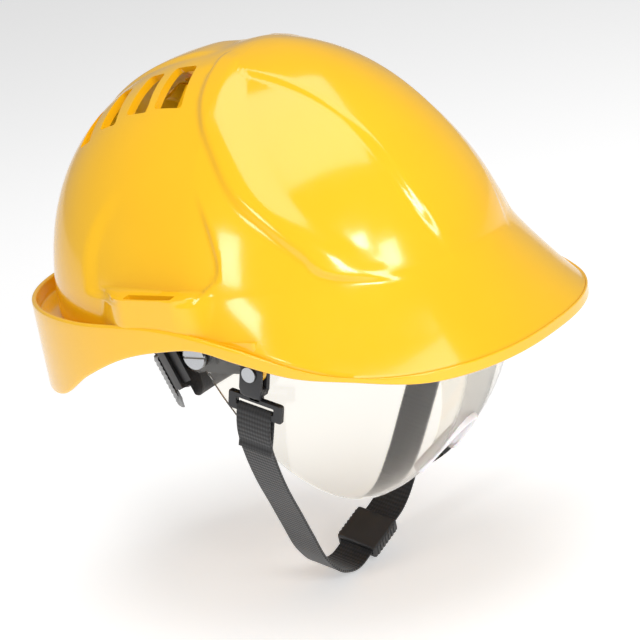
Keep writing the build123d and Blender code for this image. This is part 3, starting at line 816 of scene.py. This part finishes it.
VENT_FAN, VENT_FALL = 160, 0.78
VENT_CORNER, VENT_REACH = 2.2, 16
cutters = []
for side in (-1, 1):
    for (near_x, near_low, near_high), (far_x, far_low, far_high) in VENTS:
        middle_y = (near_low + near_high + far_low + far_high) / 4
        lean = radians(VENT_LEAN)
        axis = np.array([side * sin(lean), middle_y / VENT_FAN, cos(lean)])
        vent_corners = [
            (side * near_x, near_low),
            (side * near_x, near_high),
            (side * far_x, far_high),
            (side * far_x, far_low),
        ]
        outline = rounded_outline(vent_corners, VENT_CORNER)
        middle_x = (near_x + far_x) / 2
        roof = roof_level(middle_x, middle_y)
        rows = []
        for depth in (-VENT_REACH, VENT_REACH):
            ring = []
            for x, y in outline:
                height = roof - (abs(x) - middle_x) * VENT_FALL
                ring.append((x + depth * axis[0], y + depth * axis[1], height + depth * axis[2]))
            rows.append(ring)
        cutters.append((np.array(rows), skin_faces(2, len(outline))))
    slot_outline = rounded_outline([(105.1, 4), (109.7, 4), (109.7, 34), (105.1, 34)], 1.0)
    cutters.append(prism(slot_outline * (side, 1), (0, 0, 0), (1, 0, 0), (0, 1, 0), (0, 0, 1), 38, 62))


def carve(piece, parts, operation="DIFFERENCE"):
    """Apply one Boolean with several closed parts to a piece's mesh."""
    tool_mesh = skin_mesh(parts)
    tool_data = bpy.data.meshes.new("cutter")
    tool_mesh.to_mesh(tool_data)
    tool_mesh.free()
    tool = bpy.data.objects.new("cutter", tool_data)
    bpy.context.scene.collection.objects.link(tool)
    cut = piece.modifiers.new("cut", "BOOLEAN")
    cut.operation = operation
    cut.solver = "MANIFOLD"
    cut.object = tool
    scene_view = bpy.context.evaluated_depsgraph_get()
    finished = bpy.data.meshes.new_from_object(piece.evaluated_get(scene_view))
    piece.modifiers.clear()
    before = len(piece.data.polygons)
    piece.data = finished
    bpy.data.objects.remove(tool)
    bpy.data.meshes.remove(tool_data)
    print(f"{piece.name}: {before} faces before the cut, {len(finished.polygons)} after")


shell = add_piece("shell_moulding", shell_mesh, "helmet", shell_yellow, ("shell",), sharp=60)
carve(shell, cutters)

# %% [markdown]
# The vents have a sloping louvre below each opening, which keeps rain and sparks off the head,
# and two lugs hang from a shelf inside the rim for the chin strap's hooks.

# %% Louvres and lugs
def louvre(side, near, far):
    """Thin sloping blade under one vent, from its front edge down to the rear."""
    near_x, near_low, _ = near
    far_x, far_low, _ = far
    rows = []
    for share in share_list(7):
        row = []
        for x, y in ((near_x - 4, near_low), (far_x + 3, far_low)):
            level = roof_level(x, y) - 2.4
            row.append((side * x, y - 2 + 13 * share, level - 8.5 * sin(share * pi / 2)))
        start, finish = np.array(row[0]), np.array(row[1])
        top = [start + (finish - start) * part for part in share_list(6)]
        bottom = [point - np.array([0, 0.6, 1.4]) for point in reversed(top)]
        rows.append(top + bottom)
    return np.array(rows), skin_faces(7, 12)


def chin_lug(side):
    """Lug plate with its bore, as a ring of rows through the plate's thickness."""
    outer = []
    inner = []
    steps = 40
    for step in range(steps):
        turn = 2 * pi * step / steps
        u, v = sin(turn), cos(turn)
        if v <= 0:
            outer.append((LUG["y"] + LUG["radius"] * u, LUG["z"] + LUG["radius"] * v))
        else:
            top = LUG["top"] - LUG["z"]
            wide = LUG["radius"] + (LUG["half"] - LUG["radius"]) * min(1.0, v * 1.3)
            outer.append((LUG["y"] + wide * max(-1, min(1, u * 1.35)), LUG["z"] + top * min(1, v * 1.5)))
        inner.append((LUG["y"] + LUG["bore"] * u, LUG["z"] + LUG["bore"] * v))
    x_in = side * (LUG["x"] - LUG["thick"] / 2)
    x_out = side * (LUG["x"] + LUG["thick"] / 2)
    rows = []
    for x, outline in ((x_in, inner), (x_in, outer), (x_out, outer), (x_out, inner)):
        rows.append([(x, y, z) for y, z in outline])
    return np.array(rows), skin_faces(4, steps, around=True, along=True)


louvre_parts = [louvre(side, near, far) for side in (-1, 1) for near, far in VENTS]
add_piece("vent_louvres", skin_mesh(louvre_parts), "helmet", shell_yellow)
lug_parts = [chin_lug(side) for side in (-1, 1)]
for side in (-1, 1):
    shelf = rounded_outline([(95.5, -41), (107.5, -41), (107.5, -19), (95.5, -19)], 1.5)
    lug_parts.append(prism(shelf * (side, 1), (0, 0, 0), (1, 0, 0), (0, 1, 0), (0, 0, 1), 24.3, 29.7))
add_piece("chin_lugs", skin_mesh(lug_parts), "helmet", shell_yellow)

# %% [markdown]
# ## The eye shield
# The shield is one injection-moulded sheet, 2 mm thick, curved both ways: its outline is a
# rounded oval from the pivots round the face, turned about the line through both pivots so that
# it can slide up inside the shell.  The nose notch is cut after, and ears with a bore take the
# pivot screws.

# %% Shield
PIVOT = np.array([0.0, 10.0, 15.0])
LENS_SIDE = 91.0
LENS_REACH = 115.0
LENS_POWER = 2.4
LENS_THICK = 2.0
LENS_LOW = -64.0
NOTCH_AIM = -46.0
NOTCH_OUT = np.array([0, -cos(radians(NOTCH_AIM)), sin(radians(NOTCH_AIM))])
NOTCH_UP = np.cross(NOTCH_OUT, (1, 0, 0))


def lens_point(turn, elevation, inset):
    """Point of the shield at a turn from the front and an elevation below the pivots."""
    side = (LENS_SIDE - inset) * np.sign(sin(turn)) * abs(sin(turn)) ** (2 / LENS_POWER)
    reach = (LENS_REACH - inset) * max(cos(turn), 0) ** (2 / LENS_POWER)
    return PIVOT + np.array([side, -reach * cos(elevation), reach * sin(elevation)])


def lens_rings():
    rows = []
    levels = np.radians(np.linspace(LENS_LOW, 0, 40))
    edge = radians(0.45)
    for step in range(121):
        share = -1 + step / 60
        turn = radians(90) * share
        if abs(share) > 0.9999:
            turn = radians(90) * np.sign(share)
        ring = [lens_point(turn, level, 0) for level in levels]
        ring.append(lens_point(turn, levels[-1] + edge, LENS_THICK / 2))
        ring += [lens_point(turn, level, LENS_THICK) for level in reversed(levels)]
        ring.append(lens_point(turn, levels[0] - edge, LENS_THICK / 2))
        rows.append(ring)
    return np.array(rows)


lens = lens_rings()
shield_mesh = skin_mesh([(lens, skin_faces(*lens.shape[:2], caps=False))])
shield = add_piece("eye_shield", shield_mesh, "visor", lens_clear, ("visor_lens",), sharp=50)
circle = [(sin(step * pi / 24), cos(step * pi / 24)) for step in range(48)]
ears = []
bores = []
for side in (-1, 1):
    place = PIVOT + (side * (LENS_SIDE - LENS_THICK), 0, 0)
    ears.append(prism(np.array(circle) * 9.0, place, (0, 1, 0), (0, 0, 1), (side, 0, 0), 0.0, LENS_THICK))
    bores.append(prism(np.array(circle) * 3.05, place, (0, 1, 0), (0, 0, 1), (side, 0, 0), -3, 6))
carve(shield, ears, "UNION")
notch_outline = [(12 * sin(radians(step)), 13 + 12 * cos(radians(step))) for step in range(-90, 91, 10)]
notch_outline += [(17, -45), (-17, -45)]
bores.append(prism(notch_outline, PIVOT, (1, 0, 0), NOTCH_UP, NOTCH_OUT, 90, 135))
carve(shield, bores)

# %% [markdown]
# The nose rest is soft rubber pushed onto the notch: a rounded bead follows the notch's edge
# and swells into two feet that sit on the nose.  It could be carved, but it is swept along the
# notch like a bead of sealant, because its section hardly changes.

# %% Nose rest
def nose_rest():
    """Bead round the nose notch, thicker towards its two feet."""
    arch, crest = 11.0, 13
    turns = (-70, -45, -20, 0, 20, 45, 70)
    path = [(-17.2, -12), (-15.4, -3), (-13.2, 6), (-11.8, 13)]
    path += [(arch * sin(radians(turn)), crest + arch * cos(radians(turn))) for turn in turns]
    path += [(11.8, 13), (13.2, 6), (15.4, -3), (17.2, -12)]
    points, ways, _ = path_through(path, 0.8)
    rows = []
    count = len(points)
    for index, (point, way) in enumerate(zip(points, ways)):
        share = abs(2 * index / (count - 1) - 1)
        swell = 1 + 0.55 * smooth_step((share - 0.55) / 0.4)
        taper = 0.35 + 0.65 * sqrt(min(1.0, (1 - share) / 0.06)) if share > 0.94 else 1.0
        inward = np.array([-way[1], way[0]])
        ring = []
        for step in range(16):
            turn = 2 * pi * step / 16
            wide = 1.7 * swell * taper * np.sign(cos(turn)) * abs(cos(turn)) ** 0.7
            deep = 3.6 * taper * np.sign(sin(turn)) * abs(sin(turn)) ** 0.7
            flat = point - inward * wide
            spot = PIVOT + (flat[0], 0, 0) + NOTCH_UP * flat[1]
            ring.append(spot + NOTCH_OUT * (LENS_REACH - 3.4 + deep))
        rows.append(ring)
    rows = np.array(rows)
    return rows, skin_faces(*rows.shape[:2])


add_piece("nose_rest", skin_mesh([nose_rest()]), "visor", rubber_white, ("nose_pad",))

# %% [markdown]
# ## Straps
# The chin strap is one length of 20 mm webbing.  At each end it goes round the bar of a hook
# and is stitched back on itself, so near the hook there are two layers.  The strap is drawn as a
# thin band swept along its hanging line, with thicker woven edges, and it carries a map of its
# flat cloth so that the weave runs along it.

# %% Webbing builder
STRAP_LEAN = radians(15.4)
STRAP_PLACE = np.array([0.0, -30.0, 11.0])
STRAP_DOWN = np.array([0, sin(STRAP_LEAN), -cos(STRAP_LEAN)])
STRAP_ACROSS = np.array([0, cos(STRAP_LEAN), sin(STRAP_LEAN)])


def webbing_band(points, ways, width, thick, place, along_u, along_v, across):
    """Band of webbing along a flat path, with the run of each row for its cloth map."""
    top = []
    half = width / 2
    for share in share_list(9, -1, 1):
        edge = 1 + 0.18 * smooth_step((abs(share) - 0.8) / 0.1)
        top.append((share * (half - 0.3), thick / 2 * edge))
    profile = [*top, (half, 0), *((-wide, -lift) for wide, lift in top), (-half, 0)]
    rows = []
    for point, way in zip(points, ways):
        out = np.array([way[1], -way[0]])
        ring = []
        for wide, lift in profile:
            flat = point + out * lift
            ring.append(place + along_u * flat[0] + along_v * flat[1] + across * wide)
        rows.append(ring)
    return np.array(rows), profile


def map_cloth(piece, profile, spacing):
    """Give a band its flat cloth map: along the strap in u and across it in v, in metres."""
    cloth = piece.data.uv_layers.new(name="cloth")
    columns = len(profile)
    for face in piece.data.polygons:
        for loop in face.loop_indices:
            vertex = piece.data.loops[loop].vertex_index
            row, column = divmod(vertex, columns)
            cloth.data[loop].uv = (row * spacing * MM, profile[column][0] * MM)


def add_webbing(
    name, path, width, thick, frame_of, body, replaces, first=None, last=None
):
    """Add one length of webbing along a flat path, with its cloth map."""
    points, ways, length = path_through(path, 1.6, first, last)
    place, along_u, along_v, across = frame_of
    rows, profile = webbing_band(points, ways, width, thick, place, along_u, along_v, across)
    mesh = skin_mesh([(rows, skin_faces(*rows.shape[:2]))])
    piece = add_piece(name, mesh, body, webbing_black, replaces)
    map_cloth(piece, profile, length / (len(points) - 1))
    print(f"{name}: {length:.0f} mm of webbing")
    return piece


# %% [markdown]
# ### Chin strap
# One length of 20 mm webbing wraps round the bar of each hook and hangs below the chin.  Its
# path is drawn flat, across in u and down the lean of the strap in v, then swept as a band.

# %% Chin strap
near_bar = [(-93.7, 46), (-92.9, 34), (-92.9, 26), (-93.3, 22.4), (-94.8, 20.9), (-96.3, 22.4), (-96.6, 26)]
near_bar += [(-95.9, 34), (-93.2, 42.5), (-88.9, 51.5)]
drop = [(-78, 71), (-62, 95), (-50, 113), (-33, 137), (-13, 154), (2, 158)]
rise = [(16, 152.6), (30, 147.2), (44, 141), (59, 117), (68, 94), (77, 72)]
far_bar = [(-x, y) for x, y in reversed(near_bar)]
chin_frame = (STRAP_PLACE, np.array([1.0, 0, 0]), STRAP_DOWN, STRAP_ACROSS)
add_webbing(
    "chin_webbing",
    near_bar + drop + rise + far_bar,
    20.0,
    1.3,
    chin_frame,
    "chin",
    ("chin_strap",),
)

# %% [markdown]
# ### Crown straps
# Three lengths of 18 mm webbing cross over the head and carry it clear of the shell.  Each rises
# in half an ellipse between two clips, and they lie over each other at the crown.

# %% Crown straps
CLIP_TOP = 40.0
CROWN_RISE = 71.0
CROWN_STACK = 2.4


def crown_strap(name, start, finish, lift, node):
    start, finish = np.array(start, float), np.array(finish, float)
    middle = np.array([*(start + finish) / 2, CLIP_TOP])
    along = np.array([*(finish - start), 0.0])
    half = np.linalg.norm(along) / 2
    along /= np.linalg.norm(along)
    rise = CROWN_RISE + lift - 0.6
    path = [(-half * cos(radians(turn)), rise * sin(radians(turn))) for turn in range(0, 181, 10)]
    across = np.cross(along, (0, 0, 1))
    frame_of = (middle, along, np.array([0, 0, 1.0]), across)
    add_webbing(
        name,
        path,
        18.0,
        1.1,
        frame_of,
        "helmet",
        (node,),
        (0, 1),
        (0, -1),
    )


FRONT_Y = -50.0
FRONT_X = 81.75 * sqrt(1 - (FRONT_Y / 99.75) ** 2)
crown_strap("crown_webbing_right_front", (-FRONT_X, FRONT_Y), (60, 104), 0, "crown_strap_right_front")
left_start, left_finish = (FRONT_X, FRONT_Y), (-60, 104)
crown_strap("crown_webbing_left_front", left_start, left_finish, CROWN_STACK, "crown_strap_left_front")
crown_strap("crown_webbing_cross", (-97, 38.5), (97, 38.5), 2 * CROWN_STACK, "crown_strap_cross")

# %% [markdown]
# ## Hooks and buckle
# Each hook is a black acetal moulding: two rounded cheeks hold the shell's lug on a pin, and a
# short neck carries a cross-bar with a slot for the webbing.  Its parts are plates with rolled
# edges, which a bevel gives, as the tool's draft and radii do.

# %% Plates with rolled edges
def rolled_plate(outline, place, along_u, along_v, along_w, low, high, roll):
    """Prism whose top and bottom edges are rolled by a small radius."""
    outline = np.array(outline, float)
    middle = outline.mean(axis=0)
    place, along_u, along_v, along_w = as_points(place, along_u, along_v, along_w)
    spread = np.linalg.norm(outline - middle, axis=1).mean()
    rows = []
    stages = [(low, 1.0), (low + roll * 0.3, 0.45), (low + roll, 0.0)]
    stages += [(high - roll, 0.0), (high - roll * 0.3, 0.45), (high, 1.0)]
    for depth, pull in stages:
        shape = middle + (outline - middle) * (1 - pull * roll / spread)
        rows.append([place + u * along_u + v * along_v + depth * along_w for u, v in shape])
    rows = np.array(rows)
    return rows, skin_faces(len(stages), len(outline))


def rolled_frame(outer, inner, place, along_u, along_v, along_w, low, high, roll):
    """Frame between two outlines with the same number of points, with rolled edges."""
    place, along_u, along_v, along_w = as_points(place, along_u, along_v, along_w)
    outer, inner = np.array(outer, float), np.array(inner, float)
    gap = inner - outer
    gap = gap / np.linalg.norm(gap, axis=1)[:, None]
    rows = []
    for shape, depth in (
        (outer + gap * roll, low),
        (outer, low + roll),
        (outer, high - roll),
        (outer + gap * roll, high),
        (inner - gap * roll * 0.5, high),
        (inner, high - roll * 0.5),
        (inner, low + roll * 0.5),
        (inner - gap * roll * 0.5, low),
    ):
        rows.append([place + u * along_u + v * along_v + depth * along_w for u, v in shape])
    rows = np.array(rows)
    return rows, skin_faces(len(rows), len(outer), around=True, along=True)


def box_outline(u_from, u_to, v_from, v_to, radius):
    return rounded_outline([(u_from, v_from), (u_to, v_from), (u_to, v_to), (u_from, v_to)], radius)


# %% [markdown]
# ### Hooks
# Two cheeks, a yoke, a neck and a slotted bar make one hook, and the second is its mirror.
# They could be one carved block, but separate plates keep each edge radius easy to set.

# %% Hooks
HOOK_INNER, HOOK_OUTER = 92.6, 101.4
HOOK_CHEEK = 2.5


def strap_hook(side):
    """Cheeks, yoke, neck and slotted bar; u runs across the strap and v down it."""
    ways = (STRAP_ACROSS, STRAP_DOWN, np.array([side, 0.0, 0.0]))
    capsule = [(6.5 * cos(radians(turn)), -6.5 * sin(radians(turn))) for turn in range(0, 181, 10)]
    capsule += [(-6.5, 9.5), (-5.2, 12.4), (-3.5, 13.2), (3.5, 13.2), (5.2, 12.4), (6.5, 9.5)]
    parts = []
    for near_face in (HOOK_INNER, HOOK_OUTER - HOOK_CHEEK):
        parts.append(rolled_plate(capsule, STRAP_PLACE, *ways, near_face, near_face + HOOK_CHEEK, 0.7))
    yoke = box_outline(-6.0, 6.0, 7.8, 12.8, 1.6)
    parts.append(rolled_plate(yoke, STRAP_PLACE, *ways, HOOK_INNER + 0.3, HOOK_OUTER - 0.3, 0.5))
    neck = box_outline(-3.6, 3.6, 11.5, 17.5, 0.8)
    parts.append(rolled_plate(neck, STRAP_PLACE, *ways, HOOK_INNER - 0.1, HOOK_INNER + 3.8, 0.8))
    outer = box_outline(-16, 16, 15.4, 25.4, 1.6)
    inner = box_outline(-11.2, 11.2, 18.2, 21.6, 0.8)
    parts.append(rolled_frame(outer, inner, STRAP_PLACE, *ways, 93.0, 96.4, 0.7))
    return parts


for side, word in ((1, "left"), (-1, "right")):
    hook_mesh = skin_mesh(strap_hook(side))
    add_piece(f"chin_hook_{word}", hook_mesh, "chin", hook_black, (f"strap_hook_{word}",))

# %% [markdown]
# ### Buckle
# The slide buckle sits on the first stretch of the strap's rising run.  A sleeve goes round the
# webbing, a thin plate clamps it, and a row of small ribs on each side gives the fingers grip.

# %% Buckle
RUN_START, RUN_END = np.array([2.0, 158.0]), np.array([44.0, 141.0])
run_way = (RUN_END - RUN_START) / np.linalg.norm(RUN_END - RUN_START)
run_middle = (RUN_START + RUN_END) / 2
buckle_place = STRAP_PLACE + (run_middle[0], 0, 0) + STRAP_DOWN * run_middle[1]
buckle_along = np.array([run_way[0], 0, 0]) + STRAP_DOWN * run_way[1]
buckle_up = np.cross(buckle_along, STRAP_ACROSS)
print("buckle at", buckle_place.round(1), "up", buckle_up.round(2))


def buckle_parts():
    """Sleeve that the webbing slides through, with a clamp plate and two gripped rails."""
    outer = box_outline(-12.5, 12.5, -4.2, 4.0, 1.4)
    inner = box_outline(-10.4, 10.4, -1.7, 1.7, 0.5)
    sleeve = (buckle_place, STRAP_ACROSS, buckle_up, buckle_along)
    parts = [rolled_frame(outer, inner, *sleeve, -11.8, 11.8, 0.8)]
    lid = box_outline(-10.6, 10.6, -11.2, 11.2, 1.5)
    parts.append(
        rolled_plate(lid, buckle_place, STRAP_ACROSS, buckle_along, buckle_up, -4.9, -3.6, 0.5)
    )
    for rail in (-1, 1):
        for groove in range(7):
            at = -8.4 + 2.8 * groove
            rib = box_outline(-3.4, 3.4, at - 0.8, at + 0.8, 0.5)
            parts.append(
                rolled_plate(
                    rib, buckle_place, buckle_up, buckle_along, STRAP_ACROSS * rail, 12.0, 12.9, 0.3
                )
            )
    return parts


add_piece("strap_buckle", skin_mesh(buckle_parts()), "buckle", fold_black, ("chin_buckle",))

# %% [markdown]
# ## Padding
# The sweat band is a strip of foam sewn into knit, which bulges between its seams.  The nape pad
# and crown pad are the same material.  Each is a closed cushion: a section that swells in the
# middle and pulls in at its seams, swept along the curve of the part that it lines.

# %% Cushions
def cushion_section(height, thick, seams):
    """Closed section in (out, up): flat towards the band, crowned and seamed to the head."""
    section = []
    for share in share_list(25):
        up = -height / 2 + height * share
        bulge = sin(pi * share) ** 0.45
        for seam in seams:
            bulge *= 1 - 0.45 * np.exp(-(((share - seam) * height / 1.1) ** 2))
        section.append((-thick * bulge, up))
    back = [(0.0, height / 2 - height * share) for share in share_list(9, 0.03, 0.97)]
    return np.array(section + back)


BROW_SIDE, BROW_FRONT = 77.8, 95.8


def brow_cushion():
    rows = []
    section = cushion_section(26, 2.35, (0.16, 0.84))
    for turn in np.radians(np.linspace(-84, 84, 150)):
        place = np.array([BROW_SIDE * sin(turn), -BROW_FRONT * cos(turn), 17.0])
        out = np.array([sin(turn) / BROW_SIDE, -cos(turn) / BROW_FRONT, 0])
        out /= np.linalg.norm(out)
        pleat = 1 - 0.12 * max(0.0, cos(turn * 26)) ** 6
        ends = min(1.0, sqrt(max(0.02, (radians(84) - abs(turn)) / radians(3))))
        ring = []
        for deep, up in section:
            ring.append(place + out * deep * pleat * ends + np.array([0, 0, up * (0.9 + 0.1 * ends)]))
        rows.append(ring)
    rows = np.array(rows)
    return rows, skin_faces(*rows.shape[:2])


brow_mesh = skin_mesh([brow_cushion()])
brow = add_piece("brow_cushion", brow_mesh, "helmet", knit_charcoal, ("sweatband",))

NAPE_PLACE = np.array([0, 8.0, 14.0])
NAPE_REAR = np.array([0, cos(radians(22)), -sin(radians(22))])
NAPE_UP = np.array([0, sin(radians(22)), cos(radians(22))])


def nape_ring(angle, radius, up):
    """Point about the nape centre, at an angle from the rear towards +X."""
    turn = radians(angle)
    return NAPE_PLACE + np.array([radius * sin(turn), 0, 0]) + NAPE_REAR * radius * cos(turn) + NAPE_UP * up


def nape_cushion():
    """Nape pad: it hangs a little below the ratchet, where the skull curves in."""
    rows = []
    section = cushion_section(36, 6.2, (0.5,))
    for angle in np.linspace(-22, 22, 54):
        ends = min(1.0, sqrt(max(0.03, (22 - abs(angle)) / 4)))
        middle = 1 - 0.2 * np.exp(-((angle / 1.5) ** 2))
        rows.append([
            nape_ring(angle, 79.4 + deep * ends * middle, up * (0.85 + 0.15 * ends) - 5)
            for deep, up in section
        ])
    rows = np.array(rows)
    return rows, skin_faces(*rows.shape[:2])


nape_mesh = skin_mesh([nape_cushion()])
nape = add_piece("nape_cushion", nape_mesh, "helmet", knit_charcoal, ("nape_pad",))


def crown_cushion():
    """Round pad, crowned on top, with a sewn rim."""
    rows = []
    low = CLIP_TOP + CROWN_RISE + 2 * CROWN_STACK + 0.3
    radius, middle_y = 17, 35
    profile = [(0.02, 0.0), (0.8, 0.0), (0.97, 0.1), (1.0, 0.5), (0.97, 0.75)]
    profile += [(0.9, 0.8), (0.82, 1.25), (0.6, 1.55), (0.02, 1.6)]
    turns = np.linspace(0, 2 * pi, 48, endpoint=False)
    for share, up in profile:
        ring = []
        for turn in turns:
            ring.append((radius * share * sin(turn), middle_y + radius * share * cos(turn), low + up))
        rows.append(ring)
    rows = np.array(rows)
    return rows, skin_faces(*rows.shape[:2])


top_pad_mesh = skin_mesh([crown_cushion()])
top_pad = add_piece("crown_cushion", top_pad_mesh, "helmet", knit_charcoal, ("crown_pad",))

# %% [markdown]
# ## Nape bands
# The outside of each flexing nape arm is a wide band with fine ribs along it, which stiffen it
# and give a grip.  Each band lies on the frame's plain arm and rides with it.

# %% Ribbed bands on the nape arms
BAND_ANGLES = (28.5, 56.4)
BAND_LEVELS = (-24.0, 8.4)
RIB_PITCH = 2.7


def ribbed_band(side):
    """Curved band with lengthwise ribs on its outside, rounded where it meets the gear."""
    levels = np.linspace(*BAND_LEVELS, 97)
    rows = []
    first, last = BAND_ANGLES
    for angle in np.linspace(first, last, 44):
        share = (angle - first) / (last - first)
        low = BAND_LEVELS[0] + 9.0 * share**1.5 + 5.0 * (1 - smooth_step(share / 0.12))
        ring = []
        for level in levels:
            part = (level - BAND_LEVELS[0]) / (BAND_LEVELS[1] - BAND_LEVELS[0])
            up = low + (BAND_LEVELS[1] - low) * part
            edge = min(1.0, min(part, 1 - part) / 0.04)
            rib = 0.42 * abs(sin(pi * up / RIB_PITCH)) if 0.06 < part < 0.94 else 0.3
            ring.append(nape_ring(side * angle, 83.62 + 0.3 * edge + rib * edge, up))
        for level in reversed(levels[::8]):
            part = (level - BAND_LEVELS[0]) / (BAND_LEVELS[1] - BAND_LEVELS[0])
            ring.append(nape_ring(side * angle, 83.55, low + (BAND_LEVELS[1] - low) * part))
        rows.append(ring)
    rows = np.array(rows)
    return rows, skin_faces(*rows.shape[:2])


for side, word in ((1, "left"), (-1, "right")):
    band_mesh = skin_mesh([ribbed_band(side)])
    add_piece(f"nape_band_{word}", band_mesh, f"{word}_arm", gear_black)

# %% [markdown]
# ## Finishes for the frame's own parts
# The rest of the cradle keeps the frame's exact shapes.  Each part takes the finish that its
# material slot stands for.

# %% Dress the frame's parts
FINISH_OF_SLOT = {
    "shell_abs": shell_yellow,
    "cradle_plastic": cradle_black,
    "gear_plastic": gear_black,
    "webbing": webbing_black,
    "sweat_fabric": knit_charcoal,
    "clear_lens": lens_clear,
    "nose_rubber": rubber_white,
    "nylon": hook_black,
    "steel": steel_plated,
}
dressed = 0
for node_name, node_object in frame["nodes"].items():
    for holder in (node_object, *node_object.children_recursive):
        if holder.type != "MESH":
            continue
        for place in holder.material_slots:
            old_name = place.material.name.split(".")[0] if place.material else ""
            for slot_name, finish in FINISH_OF_SLOT.items():
                if slot_name in old_name:
                    place.material = finish
                    dressed += 1
print("frame surfaces dressed:", dressed)

# %% [markdown]
# ## Studio
# The helmet is shown as a shop would show it, on white.  The floor is a very wide sheet of pale
# paper just below the strap.  It glows a little, as paper lit from behind does, so that it stays
# white where no box light reaches.

# %% Floor
floor_mesh = bmesh.new()
FLOOR_HALF = 12.0
FLOOR_GAP = 0.003
FLOOR_GLOW = 0.34
FLOOR_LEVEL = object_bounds()[0][2] - FLOOR_GAP
floor_corners = []
for x, y in ((-1, -1), (1, -1), (1, 1), (-1, 1)):
    floor_corners.append(floor_mesh.verts.new((x * FLOOR_HALF, y * FLOOR_HALF, FLOOR_LEVEL)))
floor_mesh.faces.new(floor_corners)
floor_data = bpy.data.meshes.new("studio_floor")
floor_mesh.to_mesh(floor_data)
floor_mesh.free()
floor = bpy.data.objects.new("studio_floor", floor_data)
bpy.context.scene.collection.objects.link(floor)
paper, paper_tree, paper_place = start_finish("matt_backdrop_paper")
fibre = add_node(paper_tree, "ShaderNodeTexNoise", {"Scale": 1000 / 3}, {"Vector": paper_place})
paper_tone = add_node(
    paper_tree,
    "ShaderNodeMix",
    {"A": seen("#FAFAFA"), "B": seen("#FFFFFF")},
    {"Factor": fibre.outputs["Fac"]},
    data_type="RGBA",
)
paper_shader = add_node(
    paper_tree,
    "ShaderNodeBsdfPrincipled",
    {"Roughness": 0.9, "Emission Color": (1, 1, 1, 1), "Emission Strength": FLOOR_GLOW},
    {"Base Color": paper_tone.outputs["Result"]},
)
end_finish(paper_tree, paper_shader)
floor_data.materials.append(paper)
print("floor at", round(FLOOR_LEVEL, 4))

# %% [markdown]
# ### Lights
# White light comes from all round, dimmer in reflections than behind the helmet, so that the
# gloss keeps its contrast.  One large box hangs overhead.  Three small ones at the front and at
# the wearer's right give the window-shaped highlights on the shell.

# %% Lights
scene = bpy.context.scene
scene.view_settings.view_transform = "Standard"
SURROUND = 0.34
world = bpy.data.worlds.new("studio_white")
world.use_nodes = True
sky = world.node_tree
sky.nodes.clear()
ray = add_node(sky, "ShaderNodeLightPath")
direct = add_node(
    sky,
    "ShaderNodeMath",
    links={0: ray.outputs["Is Camera Ray"], 1: ray.outputs["Is Transmission Ray"]},
    operation="MAXIMUM",
)
strength = add_node(
    sky,
    "ShaderNodeMapRange",
    {"To Min": SURROUND, "To Max": 1.0},
    {"Value": direct.outputs[0]},
)
backdrop = add_node(
    sky, "ShaderNodeBackground", {"Color": (1, 1, 1, 1)}, {"Strength": strength.outputs["Result"]}
)
add_node(sky, "ShaderNodeOutputWorld", links={"Surface": backdrop.outputs["Background"]})
scene.world = world


def softbox(name, place, aim, width, height, watts):
    light = bpy.data.lights.new(name, "AREA")
    light.shape = "RECTANGLE"
    light.size = width
    light.size_y = height
    light.energy = watts
    holder = bpy.data.objects.new(name, light)
    scene.collection.objects.link(holder)
    holder.location = place
    holder.rotation_euler = (Vector(aim) - Vector(place)).to_track_quat("-Z", "Y").to_euler()


softbox("overhead_box", (-0.2, -0.3, 1.7), (0, 0, 0.05), 1.4, 1.4, 17)
softbox("key_box", (-0.9, -1.3, 0.75), (0, -0.03, 0.05), 0.32, 0.4, 7)
softbox("peak_box", (-0.55, -1.6, 0.55), (0, -0.05, 0.06), 0.3, 0.5, 5)
softbox("side_box", (-1.7, 0.2, 0.8), (0, 0, 0.05), 0.35, 0.6, 5)
print("lights set")

# %% [markdown]
# ### Camera
# A long lens looks down a little from the wearer's right and front.  It is rolled about its own
# axis, so that the helmet stands at a slant, and placed by angles about an aim point.

# %% Camera
AZIMUTH, ELEVATION, ROLL = radians(-53.0), radians(17.2), radians(-10.5)
AIM = Vector((-9.7, -9.2, 5.2)) * MM
DISTANCE = 1.2
SENSOR_WIDTH, FOCAL_LENGTH = 36, 128.5
back = Vector((sin(AZIMUTH) * cos(ELEVATION), -cos(AZIMUTH) * cos(ELEVATION), sin(ELEVATION)))
level = Vector((0, 0, 1)).cross(back).normalized()
right = level * cos(ROLL) + back.cross(level) * sin(ROLL)
view = bpy.data.cameras.new("studio_camera")
view.sensor_width = SENSOR_WIDTH
view.lens = FOCAL_LENGTH
camera = bpy.data.objects.new("studio_camera", view)
scene.collection.objects.link(camera)
turn_matrix = Matrix((right, back.cross(right), back)).transposed()
camera.matrix_world = Matrix.Translation(AIM + back * DISTANCE) @ turn_matrix.to_4x4()
scene.camera = camera
print("camera at", [round(value, 3) for value in camera.location])
